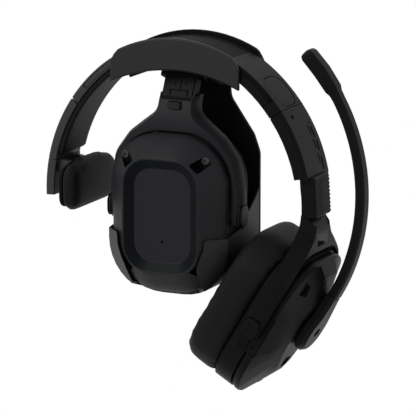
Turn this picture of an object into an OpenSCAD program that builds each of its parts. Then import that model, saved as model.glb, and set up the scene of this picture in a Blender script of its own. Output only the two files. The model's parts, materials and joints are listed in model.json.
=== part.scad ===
// Boom headset with a clip-on second ear cup, hung on its stowage hanger.
// Millimetres. +Z is up and -Y faces the user. Y = 0 is the hanger's mounting face, and the
// origin is the centre of its four mounting holes.
// An ear cup is drawn in its own frame: X across it, Z up it, and -Y out of its shell, with the
// origin on the axis of the two pins that it tilts on.

/* [Hanger] */
// Thickness of the back plate
plate_t = 2.5; // [2:0.1:3.5]
// Half width of the back plate
plate_half = 40; // [38:0.2:44]
// Half width of the plate's neck
neck_half = 20; // [17:0.5:24]
// Spacing of the mounting holes across
hole_dx = 30.2; // [26:0.1:34]
// Spacing of the mounting holes up and down
hole_dz = 38.1; // [34:0.1:42]
// Radius of a mounting hole
hole_r = 2.4; // [2:0.1:3]
// Half length of the front and rear lips
lip_half = 42.8; // [41:0.2:46]
// Thickness of a lip
lip_t = 2.5; // [2:0.1:3.5]
// Height of the lips over the top of the headband
lip_rise = 2.4; // [1:0.1:5]
// Thickness of the saddle's floor
floor_t = 3.2; // [2.5:0.1:4.5]
// Thickness of the rubber liner on the saddle
liner_t = 1; // [0.6:0.1:1.5]
// Wall thickness of the claws
claw_t = 1.3; // [1.2:0.1:2]
// Clearance between a claw and the stowed cup
claw_gap = 1; // [0.8:0.1:1.5]

/* [Headband] */
// Outer radius over the crown
crown_r = 81; // [79:0.5:83]
// Height of the crown arc's centre
crown_z = 23.5; // [22:0.5:26]
// Outer radius of the sides
side_r = 102.5; // [100:0.5:105]
// Angle from the vertical at which crown and sides meet
crown_angle = 39; // [37:1:41]
// Width front to back
band_w = 33; // [30:0.5:34]
// Distance of the band's mid line from the mounting face
band_y = 20.5; // [20:0.5:22]
// Distance of the slides and the worn cup's mid line from the mounting face
arm_y = 22; // [20:0.5:24]
// Thickness of the rigid band
band_t = 5.5; // [5:0.1:6.5]
// Thickness of the crown cushion
pad_t = 5.5; // [4:0.1:7]
// Thickness of the side liners
side_liner_t = 3.3; // [2.5:0.1:4]
// Angle above the horizontal at which the shoulders end
shoulder_end = 35; // [33:1:38]
// Angle above the horizontal at which the side bands end
band_end = 11; // [10:1:13]
// Lean of the sliding rails from the vertical
rail_lean = 15; // [13:0.5:17]
// Travel of a rail when the band is made longer
rail_travel = 15; // [8:1:15]

/* [Ear cups] */
// Width of a shell
shell_w = 75.6; // [74:0.2:77]
// Height of a shell
shell_h = 97.5; // [96:0.5:99]
// Corner radius of a shell
shell_r = 31; // [28:0.5:33]
// Wall thickness of the mouldings
wall = 2; // [1.6:0.1:2.4]
// Thickness of an ear cushion
cushion_t = 25; // [21:0.2:26]
// Thickness of the stowed cup's cushion, pressed against the plate
pressed_t = 19; // [17:0.2:19.4]
// Radius of a tilt pin
pin_r = 2; // [1.6:0.1:2.4]
// Running clearance round a pin
run = 0.05; // [0.03:0.01:0.08]
// Height of the stowed cup's tilt pins
stowed_z = 1; // [0:0.2:2]
// Distance of the stowed cup's tilt pins from the mounting face
stowed_y = 34.4; // [34:0.1:36]
// Sideways place of the worn cup's tilt pins
worn_x = 62.6; // [61:0.2:66]
// Height of the worn cup's tilt pins
worn_z = -59.7; // [-62:0.1:-58]
// Lean of the worn cup
worn_lean = 31; // [29:0.5:32]

/* [Boom] */
// Radius of the boom's bend
boom_r = 118.5; // [115:0.5:130]
// Sweep of the boom's arm before the microphone head
boom_sweep = 60.5; // [54:0.5:64]
// Sweep of the microphone head
mic_sweep = 16.5; // [14:0.5:20]
// Height of the boom's pivot over the tilt pins
boom_u = 4; // [0:0.5:6]

/* [Temple pad] */
// Half length of the temple pad
temple_half = 31; // [26:0.5:33]
// Thickness of the temple pad
temple_t = 10; // [8:0.5:11]

/* [Hidden] */
$fn = 64;

BLACK = "#141416";
CHARCOAL = "#2c2c2e";
GREY = "#3a3a3c";
SOFT = "#202022";
STEEL = "#8c8f92";

gap = 0.3;             // between soft or separate pieces that lie against each other
corner_steps = 6;      // straight pieces in one rounded corner
ring_steps = 9;        // points in one corner of a lofted ring

// ---- headband arcs: both centres lie in the plane Y = -band_y
side_x = (crown_r - side_r) * sin(crown_angle);
side_z = crown_z + (crown_r - side_r) * cos(crown_angle);
band_in = crown_r - band_t;              // inner radius of the crown cover
spring_t = 0.8;                          // thickness of the steel strip under the cover
pad_out = band_in - spring_t;
pad_in = pad_out - pad_t;
liner_r = pad_in - gap;                  // the pad rests this close over the rubber liner
floor_r = liner_r - liner_t;
crown_lo = 90 - crown_angle;             // where the crown arc meets the right side
crown_cut = 62;                          // where the crown cover meets the shoulders
band_front = -band_y - band_w / 2;
band_back = -band_y + band_w / 2;
lip_gap = 0.5;
lip_front = band_front - lip_gap - lip_t;
lip_top_r = crown_r + lip_rise;
lip_foot_r = 101.6;                      // radius of the lips' lower edge
lip_h = 19.9;                            // height of a lip at its middle
lip_foot_z = crown_z + lip_top_r - lip_h - lip_foot_r;
// height of the lips' top arc where their corners are cut
lip_corner_z = crown_z + sqrt(pow(lip_top_r, 2) - pow(lip_half - 5.4, 2));
side_in = side_r - band_t;

// ---- ear cup depths, measured out of the shell from the tilt pins
seam_o = -8.6;                           // where the cushion meets the housing
part_o = 3.3;                            // where the housing meets the shell
tab_o = 9.3;                             // outer edge of the housing's side tabs
yoke_back = -5;
yoke_front = 5.6;
arm_in = shell_w / 2 + 0.5;              // inner half width of a yoke
arm_out = arm_in + 6.2;                  // outer half width at the pins
neck_u = 69.5;                           // height of a yoke's neck over the tilt pins
// rings of the housings: [width, height, corner radius, height of the centre]
worn_ring = [shell_w - 0.4, shell_h - 1.5, 25.5, -1.8];
stowed_ring = [shell_w - 1, shell_h - 1, shell_r, 0];

// ---- rails: where the band ends, and the point the rail passes
rail_r = side_r - 2.7;
// the rail's own frame starts where the band ends
rail_x = side_x + rail_r * cos(band_end);
rail_z = side_z + rail_r * sin(band_end);
blade_t = 2;
blade_w = 16;
blade_in = 20;                           // length of blade inside the band
grip_len = 21.6;

// ======== shared shapes ========

function unit(v) = v / norm(v);

// Arc of n + 1 points from angle a0 to a1
function arc(c, r, a0, a1, n) = [for (i = [0:n]) c + r * [cos(a0 + (a1 - a0) * i / n), sin(a0 + (a1 - a0) * i / n)]];

// Arc of radius r that rounds the corner b between a and c
function rounded_corner(a, b, c, r) =
    let (u = unit(a - b), v = unit(c - b), half = acos(u * v) / 2,
         o = b + unit(u + v) * r / sin(half), t = r / tan(half),
         p = b + u * t - o, q = b + v * t - o,
         start = atan2(p.y, p.x), turn = (atan2(q.y, q.x) - start + 540) % 360 - 180)
    arc(o, r, start, start + turn, corner_steps);

// Closed outline from corners given as [x, y, radius]
function outline(p) = [
    for (i = [0:len(p) - 1])
        let (a = p[(i + len(p) - 1) % len(p)], b = p[i], c = p[(i + 1) % len(p)])
        each b[2] > 0 ? rounded_corner([a[0], a[1]], [b[0], b[1]], [c[0], c[1]], b[2]) : [[b[0], b[1]]]
];

// The right half of a shape, from top to bottom, closed by its mirror image in X
function both_halves(p) = concat([for (q = p) [-q[0], q[1], q[2]]], [for (i = [len(p) - 1:-1:0]) p[i]]);

// Rounded rectangle about c, always 4 * (steps + 1) points, counter-clockwise
function rounded(w, h, r, c = [0, 0], steps = ring_steps) = [
    for (k = [0:3])
        let (sx = k == 0 || k == 3 ? 1 : -1, sy = k < 2 ? 1 : -1)
        each arc(c + [sx * (w / 2 - r), sy * (h / 2 - r)], r, 90 * k, 90 * k + 90, steps)
];

// A counter-clockwise outline drawn in by d along each point's normal
function drawn_in(p, d) = [
    for (i = [0:len(p) - 1])
        let (e = unit(p[i] - p[(i + len(p) - 1) % len(p)]), f = unit(p[(i + 1) % len(p)] - p[i]),
             m = unit(e + f))
        p[i] + d * [-m.y, m.x] / max(0.5, m * e)
];

// Points of an outline lifted into the plane at distance o out of an ear cup
function at_depth(p, o) = [for (q = p) [q.x, -o, q.y]];

// Solid skin over rings of equal count, from the lowest -Y distance outwards
module skin(rings) {
    n = len(rings[0]);
    m = len(rings);
    sides = [
        for (i = [0:m - 2], j = [0:n - 1])
            let (a = i * n + j, b = i * n + (j + 1) % n)
            each [[a, b + n, b], [a, a + n, b + n]]
    ];
    caps = [[for (j = [0:n - 1]) j], [for (j = [n - 1:-1:0]) (m - 1) * n + j]];
    polyhedron([for (r = rings) each r], concat(sides, caps), convexity = 4);
}

// A plate in the XZ plane whose outline is drawn in by the second value at each depth
module bevelled(p, levels) skin([for (l = levels) at_depth(drawn_in(p, l[1]), l[0])]);

// A drawing in X and Z made solid from y0 to y1
module slab(y0, y1) translate([0, y1, 0]) rotate([90, 0, 0]) linear_extrude(y1 - y0) children();

// The same, measured out of an ear cup
module cup_slab(o0, o1) slab(-o1, -o0) children();

// A drawing in radius and -Y turned about an axis along Y through [x, z]
module turned(c, a0, a1)
    translate([c[0], 0, c[1]]) rotate([90, 0, 0]) rotate([0, 0, a0]) rotate_extrude(angle = a1 - a0, $fn = 180)
        children();

// Area between two arcs about c
module arc_area(c, r0, r1, a0, a1, n = 16)
    polygon(concat(arc(c, r1, a0, a1, n), [for (i = [n:-1:0]) arc(c, r0, a0, a1, n)[i]]));

// Band section between two radii, w wide, with its edges rounded
module band_section(r0, r1, w, edge)
    translate([(r0 + r1) / 2, band_y]) polygon(rounded(r1 - r0, w, edge, steps = 3));

module crown_arc(r0, r1, w, edge, a0, a1) turned([0, crown_z], a0, a1) band_section(r0, r1, w, edge);

module side_arc(r0, r1, w, edge, a0, a1) turned([side_x, side_z], a0, a1) band_section(r0, r1, w, edge);

module left() mirror([1, 0, 0]) children();

module peg(r, h) cylinder(r = r, h = h, $fn = 48);

// Places of the two ear cups
module stowed() translate([0, -stowed_y, stowed_z]) children();
module worn() translate([worn_x, -arm_y, worn_z]) rotate([0, worn_lean, 0]) rotate([0, 0, 90]) children();

// The right rail's own frame: Z up along the rail, X outwards
module rail() translate([rail_x, -arm_y, rail_z]) rotate([0, -rail_lean, 0]) children();

// ======== hanger ========

// Outline shared by the two lips, drawn in by d
function lip_outline(d) =
    let (top = asin((lip_half - 5.4) / lip_top_r), foot = asin((lip_half - 1) / lip_foot_r))
    drawn_in(concat(
        arc([0, lip_foot_z], lip_foot_r, 90 + foot, 90 - foot, 12),
        [[lip_half, lip_foot(lip_half) - 0.3], [lip_half, lip_corner_z - 7.5],
            [lip_half - 1.7, lip_corner_z - 4.3], [lip_half - 3.4, lip_corner_z - 1.6]],
        arc([0, crown_z], lip_top_r, 90 - top, 90 + top, 14),
        [[3.4 - lip_half, lip_corner_z - 1.6], [1.7 - lip_half, lip_corner_z - 4.3],
            [-lip_half, lip_corner_z - 7.5], [-lip_half, lip_foot(lip_half) - 0.3]]), d);

plate_top = lip_foot(neck_half + 0.6) - 0.8;
module plate_shape() polygon(outline(both_halves([
    [neck_half - 0.6, plate_top, 2], [neck_half + 0.6, 67, 10], [plate_half - 4, 45, 12], [plate_half, 34, 12],
    [plate_half, stowed_z - shell_h / 2 - claw_gap - claw_t, 33]])));

module back_plate() color(BLACK) difference() {
    slab(-plate_t, 0) plate_shape();
    for (x = [-1, 1], z = [-1, 1])
        translate([x * hole_dx / 2, 1, z * hole_dz / 2]) rotate([90, 0, 0]) peg(hole_r, plate_t + 2);
    for (x = [-1, 1]) translate([x * 12, 1, plate_top - 3.8]) rotate([90, 0, 0]) peg(1.6, plate_t + 2);
}

// Drawing of the saddle's floor, c thicker
module floor_shape(c)
    arc_area([0, crown_z], floor_r - floor_t - c, floor_r + 100 * c, crown_cut, 180 - crown_cut);

// Floor that follows the crown cushion, with the rear lip and the socket for the stem under it
module saddle() color(BLACK) difference() {
    union() {
        slab(lip_front + lip_t, -plate_t) floor_shape(0);
        slab(band_back + lip_gap, band_back + lip_gap + lip_t) polygon(lip_outline(0));
        translate([-neck_half + 1, -plate_t - 9, plate_top - 7.6])
            cube([2 * neck_half - 2, 9, floor_r - floor_t + crown_z - plate_top + 6.8]);
    }
    for (x = [-1, 1]) translate([x * 12, 0, plate_top - 3.8]) rotate([90, 0, 0]) peg(1.6, 10);
}

// Top edge of the lips above x, with their cut corners, and their bottom edge
function lip_top(x) = abs(x) < lip_half - 5.4
    ? crown_z + sqrt(pow(lip_top_r, 2) - x * x)
    : lookup(abs(x), [[lip_half - 5.4, lip_corner_z], [lip_half - 3.4, lip_corner_z - 1.6],
        [lip_half - 1.7, lip_corner_z - 4.3], [lip_half, lip_corner_z - 7.5]]);
function lip_foot(x) = lip_foot_z + sqrt(pow(lip_foot_r, 2) - x * x);

// Section of the front lip at x, c smaller all round: bevelled along its front edges
function lip_ring(x, c) = let (top = lip_top(x) - c, foot = lip_foot(x) + c, y = lip_front)
    [[x, y + lip_t, foot], [x, y + lip_t, top], [x, y + 0.8 + c, top], [x, y + c, top - 0.8],
     [x, y + c, foot + 1.3], [x, y + 1.1 + c, foot]];

module front_lip() color(CHARCOAL) let (side = lip_half - 0.6) skin(concat(
    [lip_ring(-lip_half, 0.6)],
    [for (x = [-side, 3.4 - lip_half - 0.9, 4.6 - lip_half]) lip_ring(x, 0)],
    [for (i = [-10:10]) lip_ring(i / 10 * (lip_half - 5.4), 0)],
    [for (x = [lip_half - 4.6, lip_half - 2.5, side]) lip_ring(x, 0)],
    [lip_ring(lip_half, 0.6)]));

module saddle_liner() color(SOFT) slab(band_front, band_back)
    arc_area([0, crown_z], floor_r, floor_r + liner_t, crown_cut, 180 - crown_cut);

// One claw: the side wall with its gusset, half of the floor, and the sloping front lip
module claw() {
    inner = rounded(shell_w + 2 * claw_gap, shell_h + 2 * claw_gap, shell_r + claw_gap, [0, stowed_z]);
    side = shell_w / 2 + claw_gap + claw_t;
    bend = stowed_y + 12.9;              // where the wall turns into the lip
    deep = 13;
    edge = shell_w / 2;
    foot = stowed_z - shell_h / 2;
    difference() {
        intersection() {
            bevelled(drawn_in(inner, -claw_t), [[plate_t, 0], [bend + 0.5, 0], [bend + 0.5 + deep, deep]]);
            // the lip's inner edge, and the gusset seen from the side
            slab(-70, 0) polygon(outline([
                [edge - 8.6, foot + 37.3, 3], [edge - 9, foot + 30.7, 6], [edge - 13.8, foot + 17.7, 8],
                [edge - 14.5, foot + 4.7, 0], [0.2, foot + 4.7, 0], [0.2, foot - 12, 0],
                [edge + 22, foot - 12, 0], [edge + 22, foot + 78, 0], [edge + 0.2, foot + 78, 0],
                [edge + 0.2, foot + 37.3, 0]]));
            rotate([90, 0, 90]) linear_extrude(side + 1) polygon([
                [-plate_t, foot + 59.7], [-plate_t - 5.1, foot + 55], [16.7 - bend, foot + 39.1],
                [-bend - 0.7, foot + 36.7], [-bend - 16.7, foot + 36.7], [-bend - 16.7, foot + 21.7],
                [-bend - 10.7, foot + 13.7], [-bend - 0.7, foot + 3.1], [5.3 - bend, foot + 0.7],
                [9.3 - bend, foot - 12.3], [-plate_t, foot - 12.3]]);
        }
        bevelled(inner, [[plate_t - 1, 0], [bend, 0], [bend + deep, deep]]);
    }
}

module right_claw() color(BLACK) claw();
module left_claw() color(BLACK) left() claw();

module hanger_screws() color(STEEL)
    for (x = [-1, 1]) translate([x * 12, 0, plate_top - 3.8]) rotate([90, 0, 0]) {
        translate([0, 0, 0.4]) peg(1.6, 9);
    }

// ======== headband ========

module crown_cover() color(CHARCOAL) difference() {
    crown_arc(band_in, crown_r, band_w, 1, crown_cut, 180 - crown_cut);
    crown_arc(crown_r - 0.8, crown_r + 1, band_w - 9, 0.2, crown_cut + 2, 178 - crown_cut);
}

module crown_inlay() color(GREY)
    crown_arc(crown_r - 0.72, crown_r - 0.3, band_w - 9.5, 0.2, crown_cut + 2.2, 177.8 - crown_cut);

module crown_spring() color(STEEL)
    crown_arc(pad_out + 0.05, band_in - 0.05, 18, 0.2, crown_lo + 2, 178 - crown_lo);

module crown_pad() color(SOFT)
    crown_arc(pad_in, pad_out, band_w - 2, 2.4, crown_lo + 3, 177 - crown_lo);

// Outline over the end of the crown arc and the start of the side arc, c smaller all round
function shoulder_outline(c, low, high) = concat(
    arc([side_x, side_z], side_r - c, low, crown_lo, 9),
    [for (i = [1:6]) arc([0, crown_z], crown_r - c, crown_lo, high, 6)[i]],
    [for (i = [6:-1:1]) arc([0, crown_z], band_in + c, crown_lo, high, 6)[i]],
    [for (i = [9:-1:0]) arc([side_x, side_z], side_in + c, low, crown_lo, 9)[i]]);

// The band's rounded section at angle a of an arc about c with outer radius r
function band_ring(c, r, a) = [for (q = rounded(band_t, band_w, 1, steps = 3))
    [c.x + (r - band_t / 2 + q.x) * cos(a), q.y - band_y, c.y + (r - band_t / 2 + q.x) * sin(a)]];

// Shoulder with the recess for its front trim
module shoulder() difference() {
    skin(concat(
        [for (i = [0:9]) band_ring([side_x, side_z], side_r, shoulder_end + (crown_lo - shoulder_end) * i / 9)],
        [for (i = [1:6]) band_ring([0, crown_z], crown_r, crown_lo + (crown_cut - crown_lo) * i / 6)]));
    slab(band_front - 1, band_front + 1) polygon(shoulder_outline(1.2, 41, crown_cut - 2));
}

// Front trim: a thin panel let into the shoulder's front face
module trim() slab(band_front + 0.2, band_front + 1) polygon(shoulder_outline(1.4, 41.3, crown_cut - 2.3));

module right_shoulder() color(CHARCOAL) difference() {
    shoulder();
    control_recess(0);
}
module left_shoulder() color(GREY) left() shoulder();
module right_trim() color(BLACK) trim();
module left_trim() color(BLACK) left() trim();

// Oval recess and cover on the right shoulder's outer face
module control_recess(c)
    intersection() {
        side_arc(side_r - 1, side_r + 1, band_w, 0.2, shoulder_end, crown_lo);
        translate([side_x, -band_y, side_z]) rotate([0, 90 - (shoulder_end + crown_lo) / 2 - 90, 0])
            rotate([0, 90, 0]) linear_extrude(side_r + 5)
                polygon(rounded(band_w - 11 - 2 * c, 24 - 2 * c, 8 - c, steps = 5));
    }

module control_cover() color(BLACK) intersection() {
    control_recess(0.25);
    side_arc(side_r - 1, side_r - 0.1, band_w - 2, 0.2, shoulder_end + 1, crown_lo);
}

// Side band: a curved box with the straight channel that its rail slides in
module side_band(top) difference() {
    side_arc(side_in, side_r, band_w, 1, band_end, top);
    rail() translate([-blade_t / 2 - gap, -blade_w / 2 - gap, -4])
        cube([blade_t + 2 * gap, blade_w + 2 * gap, blade_in + 4.6]);
}

module right_band() color(CHARCOAL) difference() {
    side_band(shoulder_end);
    for (a = [15, 20, 25]) turned([side_x, side_z], a, a + 3.5)
        translate([side_r - 0.4, band_y - 7]) square([2, 1]);
}
module left_band() color(GREY) left() side_band(shoulder_end - 1);

module liner(low) side_arc(side_in - side_liner_t, side_in - 0.05, band_w - 1, 0.8, low, crown_lo + 1);
module right_liner() color(SOFT) liner(band_end + 2);
module left_liner() color(SOFT) left() liner(band_end + 2);

// ======== left end and temple pad ========

temple_up = 14.2;                        // height of the temple pad's pivot over the side arc's centre
temple_z = side_z + temple_up;
temple_x = 5.6 - side_x - sqrt(pow(side_in, 2) - pow(temple_up, 2));
temple_pin_r = 1.3;
ear_w = 4;

module left_end() color(GREY) left() difference() {
    union() {
        side_arc(side_in - 0.4, side_r, band_w, 1, -2.1, band_end - 0.2);
        rail() translate([-blade_t / 2, -blade_w / 2, -6]) cube([blade_t, blade_w, blade_in + 6]);
        for (s = [-1, 1]) translate([-temple_x, -arm_y + s * 9, temple_z]) rotate([90, 0, 0])
            translate([0, 0, -ear_w / 2]) linear_extrude(ear_w)
                polygon(outline([[-3, -3.4, 2.9], [6, -4.2, 0], [5.2, 4.2, 0], [-3, 3.4, 2.9]]));
    }
    translate([-temple_x, -arm_y + 20, temple_z]) rotate([90, 0, 0]) peg(temple_pin_r, 40);
}

module temple_pin() color(STEEL) translate([temple_x, -arm_y + 11, temple_z]) rotate([90, 0, 0])
    peg(temple_pin_r, 22);

temple_face = temple_x + 4.1;            // outer face of the pad's carrier
function temple_outline(d) = drawn_in(outline([
    [temple_half, 13 + 2, 9], [12, 19, 14], [-12, 19, 14], [-temple_half, 13 + 2, 9],
    [-temple_half, -12, 9], [temple_half, -12, 9]]), d);

module temple_plate(levels)
    translate([0, -arm_y, temple_z - 12.6]) rotate([0, 0, 90]) skin([
        for (l = levels) at_depth(temple_outline(l[1]), l[0])]);

module temple_carrier() color(BLACK) difference() {
    union() {
        temple_plate([[temple_face, 2], [temple_face + 2, 2]]);
        translate([temple_x, -arm_y + 6.6, temple_z]) rotate([90, 0, 0]) linear_extrude(13.2)
            polygon(outline([[-2.9, -3.2, 2.8], [4.6, -3.2, 0], [4.6, 3.2, 0], [-2.9, 3.2, 2.8]]));
    }
    translate([temple_x, -arm_y + 20, temple_z]) rotate([90, 0, 0]) peg(temple_pin_r + run, 40);
}

module temple_pad() color(SOFT)
    temple_plate([[temple_face + 2, 1.5], [temple_face + 4, 0], [temple_face + 8, 0],
        [temple_face + 10.5, 1.6], [temple_face + 2 + temple_t, 5]]);

// ======== right end ========

module right_blade() color(STEEL) rail()
    translate([-blade_t / 2, -blade_w / 2, -12]) cube([blade_t, blade_w, blade_in + 12]);

grip_lean = 3.5;
grip_top = [rail_x + 0.5, rail_z - 0.9]; // centre of the grip's top, in X and Z
grip_end = grip_top + grip_len * [sin(grip_lean), -cos(grip_lean)];
grip_w = 24;
grip_t = 10;

module right_grip() color(BLACK) difference() {
    translate([grip_end.x, -arm_y, grip_end.y]) rotate([0, -grip_lean, 0]) linear_extrude(grip_len)
        polygon(rounded(grip_t, grip_w, 3, steps = 4));
    rail() translate([-blade_t / 2, -blade_w / 2, -12]) cube([blade_t, blade_w, 20]);
}

// Half outline of a yoke's arch, from under the neck down to the end of an arm
yoke_half = [
    [14.5, neck_u - 9, 3], [arm_out - 14.5, shell_h / 2 - 1.7, 12], [arm_out - 3.9, shell_h / 2 - 13.2, 14],
    [arm_out - 0.6, 18, 14],
    [arm_out + 0.6, 3, 8], [arm_out + 0.2, -4, 5], [arm_out - 1.6, -8.6, 5], [arm_in - 1.5, -8.6, 0]];

// The arch bends back above the cup, towards the head
module yoke_arch() difference() {
    bevelled(outline(both_halves(yoke_half)),
        [[yoke_back, 1], [yoke_back + 1.2, 0], [yoke_front - 4, 0], [yoke_front, 4.6]]);
    cup_slab(-20, 20) polygon(rounded(2 * arm_in, shell_h + 1.6, shell_r - 3, [0, -0.6]));
    cup_slab(-20, 20) polygon([[-arm_in, -shell_h], [arm_in, -shell_h], [arm_in, 0], [-arm_in, 0]]);
    rotate([90, 0, 90]) linear_extrude(2 * shell_w, center = true) polygon([
        [-yoke_front - 1, shell_h / 2 - 3.7], [-yoke_front, shell_h / 2 - 3.7],
        [-yoke_front + 7, neck_u - 7.5], [-yoke_front - 1, neck_u - 7.5]]);
    for (s = [-1, 1]) translate([s * (arm_in - 3), 0, 0]) rotate([0, s * 90, 0]) peg(pin_r, 20);
    pivot_caps(0.15);
}

module yoke_pins() for (s = [-1, 1]) translate([s * (shell_w / 2 - 4.6), 0, 0]) rotate([0, s * 90, 0])
    peg(pin_r, arm_out - shell_w / 2 + 3);

// Caps let into the arms over the pins; the yoke's recesses are the same shape, c larger
module pivot_caps(c = 0) for (s = [-1, 1]) translate([s * (arm_out - 1.6), 0, 0]) rotate([0, s * 90, 0])
    linear_extrude(3.4 + c * 40) polygon(rounded(12.6 + 2 * c, 9.6 + 2 * c, 4.2 + c, steps = 5));

// Rings across the neck: [x, z, lean, thickness, width]
function neck_ring(s) = [for (q = rounded(s[3], s[4], 2.6, steps = 4))
    [s[0] + q.x * cos(s[2]), -arm_y + q.y, s[1] + q.x * sin(s[2])]];

module right_yoke() color(CHARCOAL) {
    worn() yoke_arch();
    skin([
        neck_ring([worn_x - 2.6 * cos(worn_lean) + (neck_u - 18) * sin(worn_lean),
            worn_z + 2.6 * sin(worn_lean) + (neck_u - 18) * cos(worn_lean), -24, 7, 27]),
        neck_ring([grip_end.x - 0.4, grip_end.y - 11, -8, 7.6, 26]),
        neck_ring([grip_end.x - 0.2, grip_end.y - 5, 2, grip_t, grip_w + 1]),
        neck_ring([grip_end.x, grip_end.y - 1, grip_lean, grip_t, grip_w])]);
}

module right_yoke_pins() color(STEEL) worn() yoke_pins();
module right_pivot_caps() color(BLACK) worn() pivot_caps();

// ======== ear cups ========

// Side tabs of the housing, which carry the controls
module tabs(c) intersection() {
    cup_slab(part_o - 1, tab_o + c) polygon(drawn_in(rounded(shell_w - 1, shell_h, shell_r), -c));
    for (s = [-1, 1]) translate([s * (shell_w / 2 - 1.6) - 2.4 - c, -20, -17 - c]) cube([4.8 + 2 * c, 30, 27 + 2 * c]);
}

// A housing's ring, d smaller all round
function ring(g, d = 0, steps = ring_steps) = rounded(g[0] - 2 * d, g[1] - 2 * d, g[2] - d, [0, g[3]], steps);

module housing(g) difference() {
    union() {
        cup_slab(seam_o, part_o) difference() {
            polygon(ring(g));
            polygon(ring(g, wall));
        }
        cup_slab(seam_o + 2, seam_o + 3.2) difference() {
            polygon(ring(g, wall / 2));
            polygon(ring(g, 4.5));
        }
        tabs(0);
        for (s = [-1, 1]) translate([s * (g[0] / 2 - 3.6), 0, 0]) rotate([0, s * 90, 0])
            peg(5.4, arm_in - gap - g[0] / 2 + 3.6);
    }
    for (s = [-1, 1]) translate([s * 25, 0, 0]) rotate([0, s * 90, 0]) peg(pin_r + run, 20);
}

module baffle(g) cup_slab(seam_o, seam_o + 2) polygon(ring(g, wall + 0.1));

module driver() translate([0, -seam_o - 2, 0]) rotate([90, 0, 0]) {
    peg(20, 3);
    translate([0, 0, 3]) peg(12, 3);
}

module grille() cup_slab(seam_o - 0.6, seam_o) polygon(rounded(40, 58, 19));

// Ear cushion: a soft ring with a crowned face, drawn in towards the housing
module cushion(g, t) {
    outer = ring(g, 0.5, 7);
    inner = rounded(44, 62, 21, [0, g[3]], 7);
    n = len(outer);
    section = [[0.93, 0], [1, 0.12], [1.03, 0.5], [1, 0.8], [0.86, 0.96], [0.5, 1],
        [0, 1], [-0.5, 0.97], [-0.84, 0.84], [-1, 0.6], [-1, 0.2], [-0.92, 0]];
    m = len(section);
    points = [
        for (j = [0:n - 1], s = section)
            let (q = (outer[j] + inner[j]) / 2 + s[0] * (outer[j] - inner[j]) / 2)
            [q.x, -seam_o + s[1] * t, q.y]
    ];
    faces = [
        for (j = [0:n - 1], k = [0:m - 1])
            let (a = j * m + k, b = j * m + (k + 1) % m, c = (j + 1) % n * m + k, d = (j + 1) % n * m + (k + 1) % m)
            each [[a, b, d], [a, d, c]]
    ];
    polyhedron(points, faces, convexity = 6);
}

// Places of the four shell screws
screw_x = shell_w / 2 - 12.8;
screw_z = shell_h / 2 - 13.7;
screw_o = 15;

module pockets(skip = [])
    for (sx = [-1, 1], sz = [-1, 1]) {
        translate([sx * (screw_x - 2.6), -screw_o - 1, sz * (screw_z - 1.8)]) rotate([90, 0, 0])
            rotate([0, 0, sx * sz * 8]) cylinder(r1 = 5, r2 = 10, h = 6, $fn = 4);
        translate([sx * screw_x, 0, sz * screw_z]) rotate([90, 0, 0]) peg(1.3, 30);
        translate([sx * screw_x, -screw_o - 1, sz * screw_z]) rotate([90, 0, 0]) peg(2.2, 12);
    }

module shell_screws() for (sx = [-1, 1], sz = [-1, 1])
    translate([sx * screw_x, -screw_o + 5, sz * screw_z]) rotate([90, 0, 0]) {
        peg(1.25, 6.4);
        translate([0, 0, 6.1]) peg(1.9, 1.2);
    }

// Hollow shell from rings of [depth, width, height, corner radius]
module shell_body(rings, inset) difference() {
    skin([for (r = rings) at_depth(rounded(r[1], r[2], r[3]), r[0])]);
    skin([for (r = [for (i = [0:len(rings) - 1]) if (i < inset) rings[i]])
        at_depth(rounded(r[1] - 2 * wall - 1, r[2] - 2 * wall - 1, r[3] - wall), r[0] - (r[0] > part_o ? wall : 0.1))]);
    tabs(0.3);
}

island_w = shell_w - 27.2;
island_h = shell_h - 29.1;

module smooth_shell() difference() {
    shell_body([
        [part_o + 0.1, shell_w - 3, shell_h - 3.5, shell_r],
        [8.5, shell_w - 0.3, shell_h - 0.3, shell_r],
        [11.8, shell_w, shell_h, shell_r],
        [15.2, shell_w - 5, shell_h - 4.5, shell_r - 1],
        [19.4, shell_w - 13, shell_h - 12.5, shell_r - 5],
        [22.8, island_w + 7, island_h + 8, 21],
        [24.7, island_w + 2, island_h + 2, 17]], 6);
    skin([for (r = [[21.6, 11.2, 11], [24.9, 0, 16], [27, -6, 19]])
        at_depth(rounded(island_w - r[1], island_h - r[1], r[2]), r[0])]);
    pockets();
}

// What lies outside the three facets over the top of the worn cup's shell, d further in
module beyond_facets(d) for (n = [[0, -0.677, 0.735], [0.52, -0.56, 0.65], [-0.52, -0.56, 0.65]])
    rotate([0, acos(n.z / norm(n)), atan2(n.y, n.x)]) translate([0, 0, (n.x == 0 ? 41.4 : 39.6) - d + 30])
        cube([150, 150, 60], center = true);

facet_rings = [
    [part_o + 0.1, shell_w - 3, shell_h - 5, shell_r],
    [7.5, shell_w - 0.3, shell_h - 2.3, shell_r],
    [9.5, shell_w, shell_h - 2, shell_r],
    [14, shell_w - 12, shell_h - 11, 25],
    [18.6, shell_w - 32, shell_h - 26, 17]];

module facet_shell() difference() {
    skin([for (r = facet_rings) at_depth(rounded(r[1], r[2], r[3]), r[0])]);
    difference() {
        skin([for (i = [0:3]) let (r = facet_rings[i], d = 2 * wall + 1)
            at_depth(rounded(r[1] - d, r[2] - d, r[3] - wall), r[0] - (i > 0 ? wall : 0.2))]);
        beyond_facets(wall + 0.6);
    }
    beyond_facets(0);
    tabs(0.3);
    translate([-14, -19, 30]) rotate([20, 0, 24]) cube([22, 6, 9], center = true);
    translate([0, -5, boom_u]) rotate([90, 0, 0]) peg(3, 20);
    worn_port() cube([10, 6, 12], center = true);
}

module worn_port() translate([0, -10.5, -shell_h / 2 + 3.6]) rotate([-32, 0, 0]) children();

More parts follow.
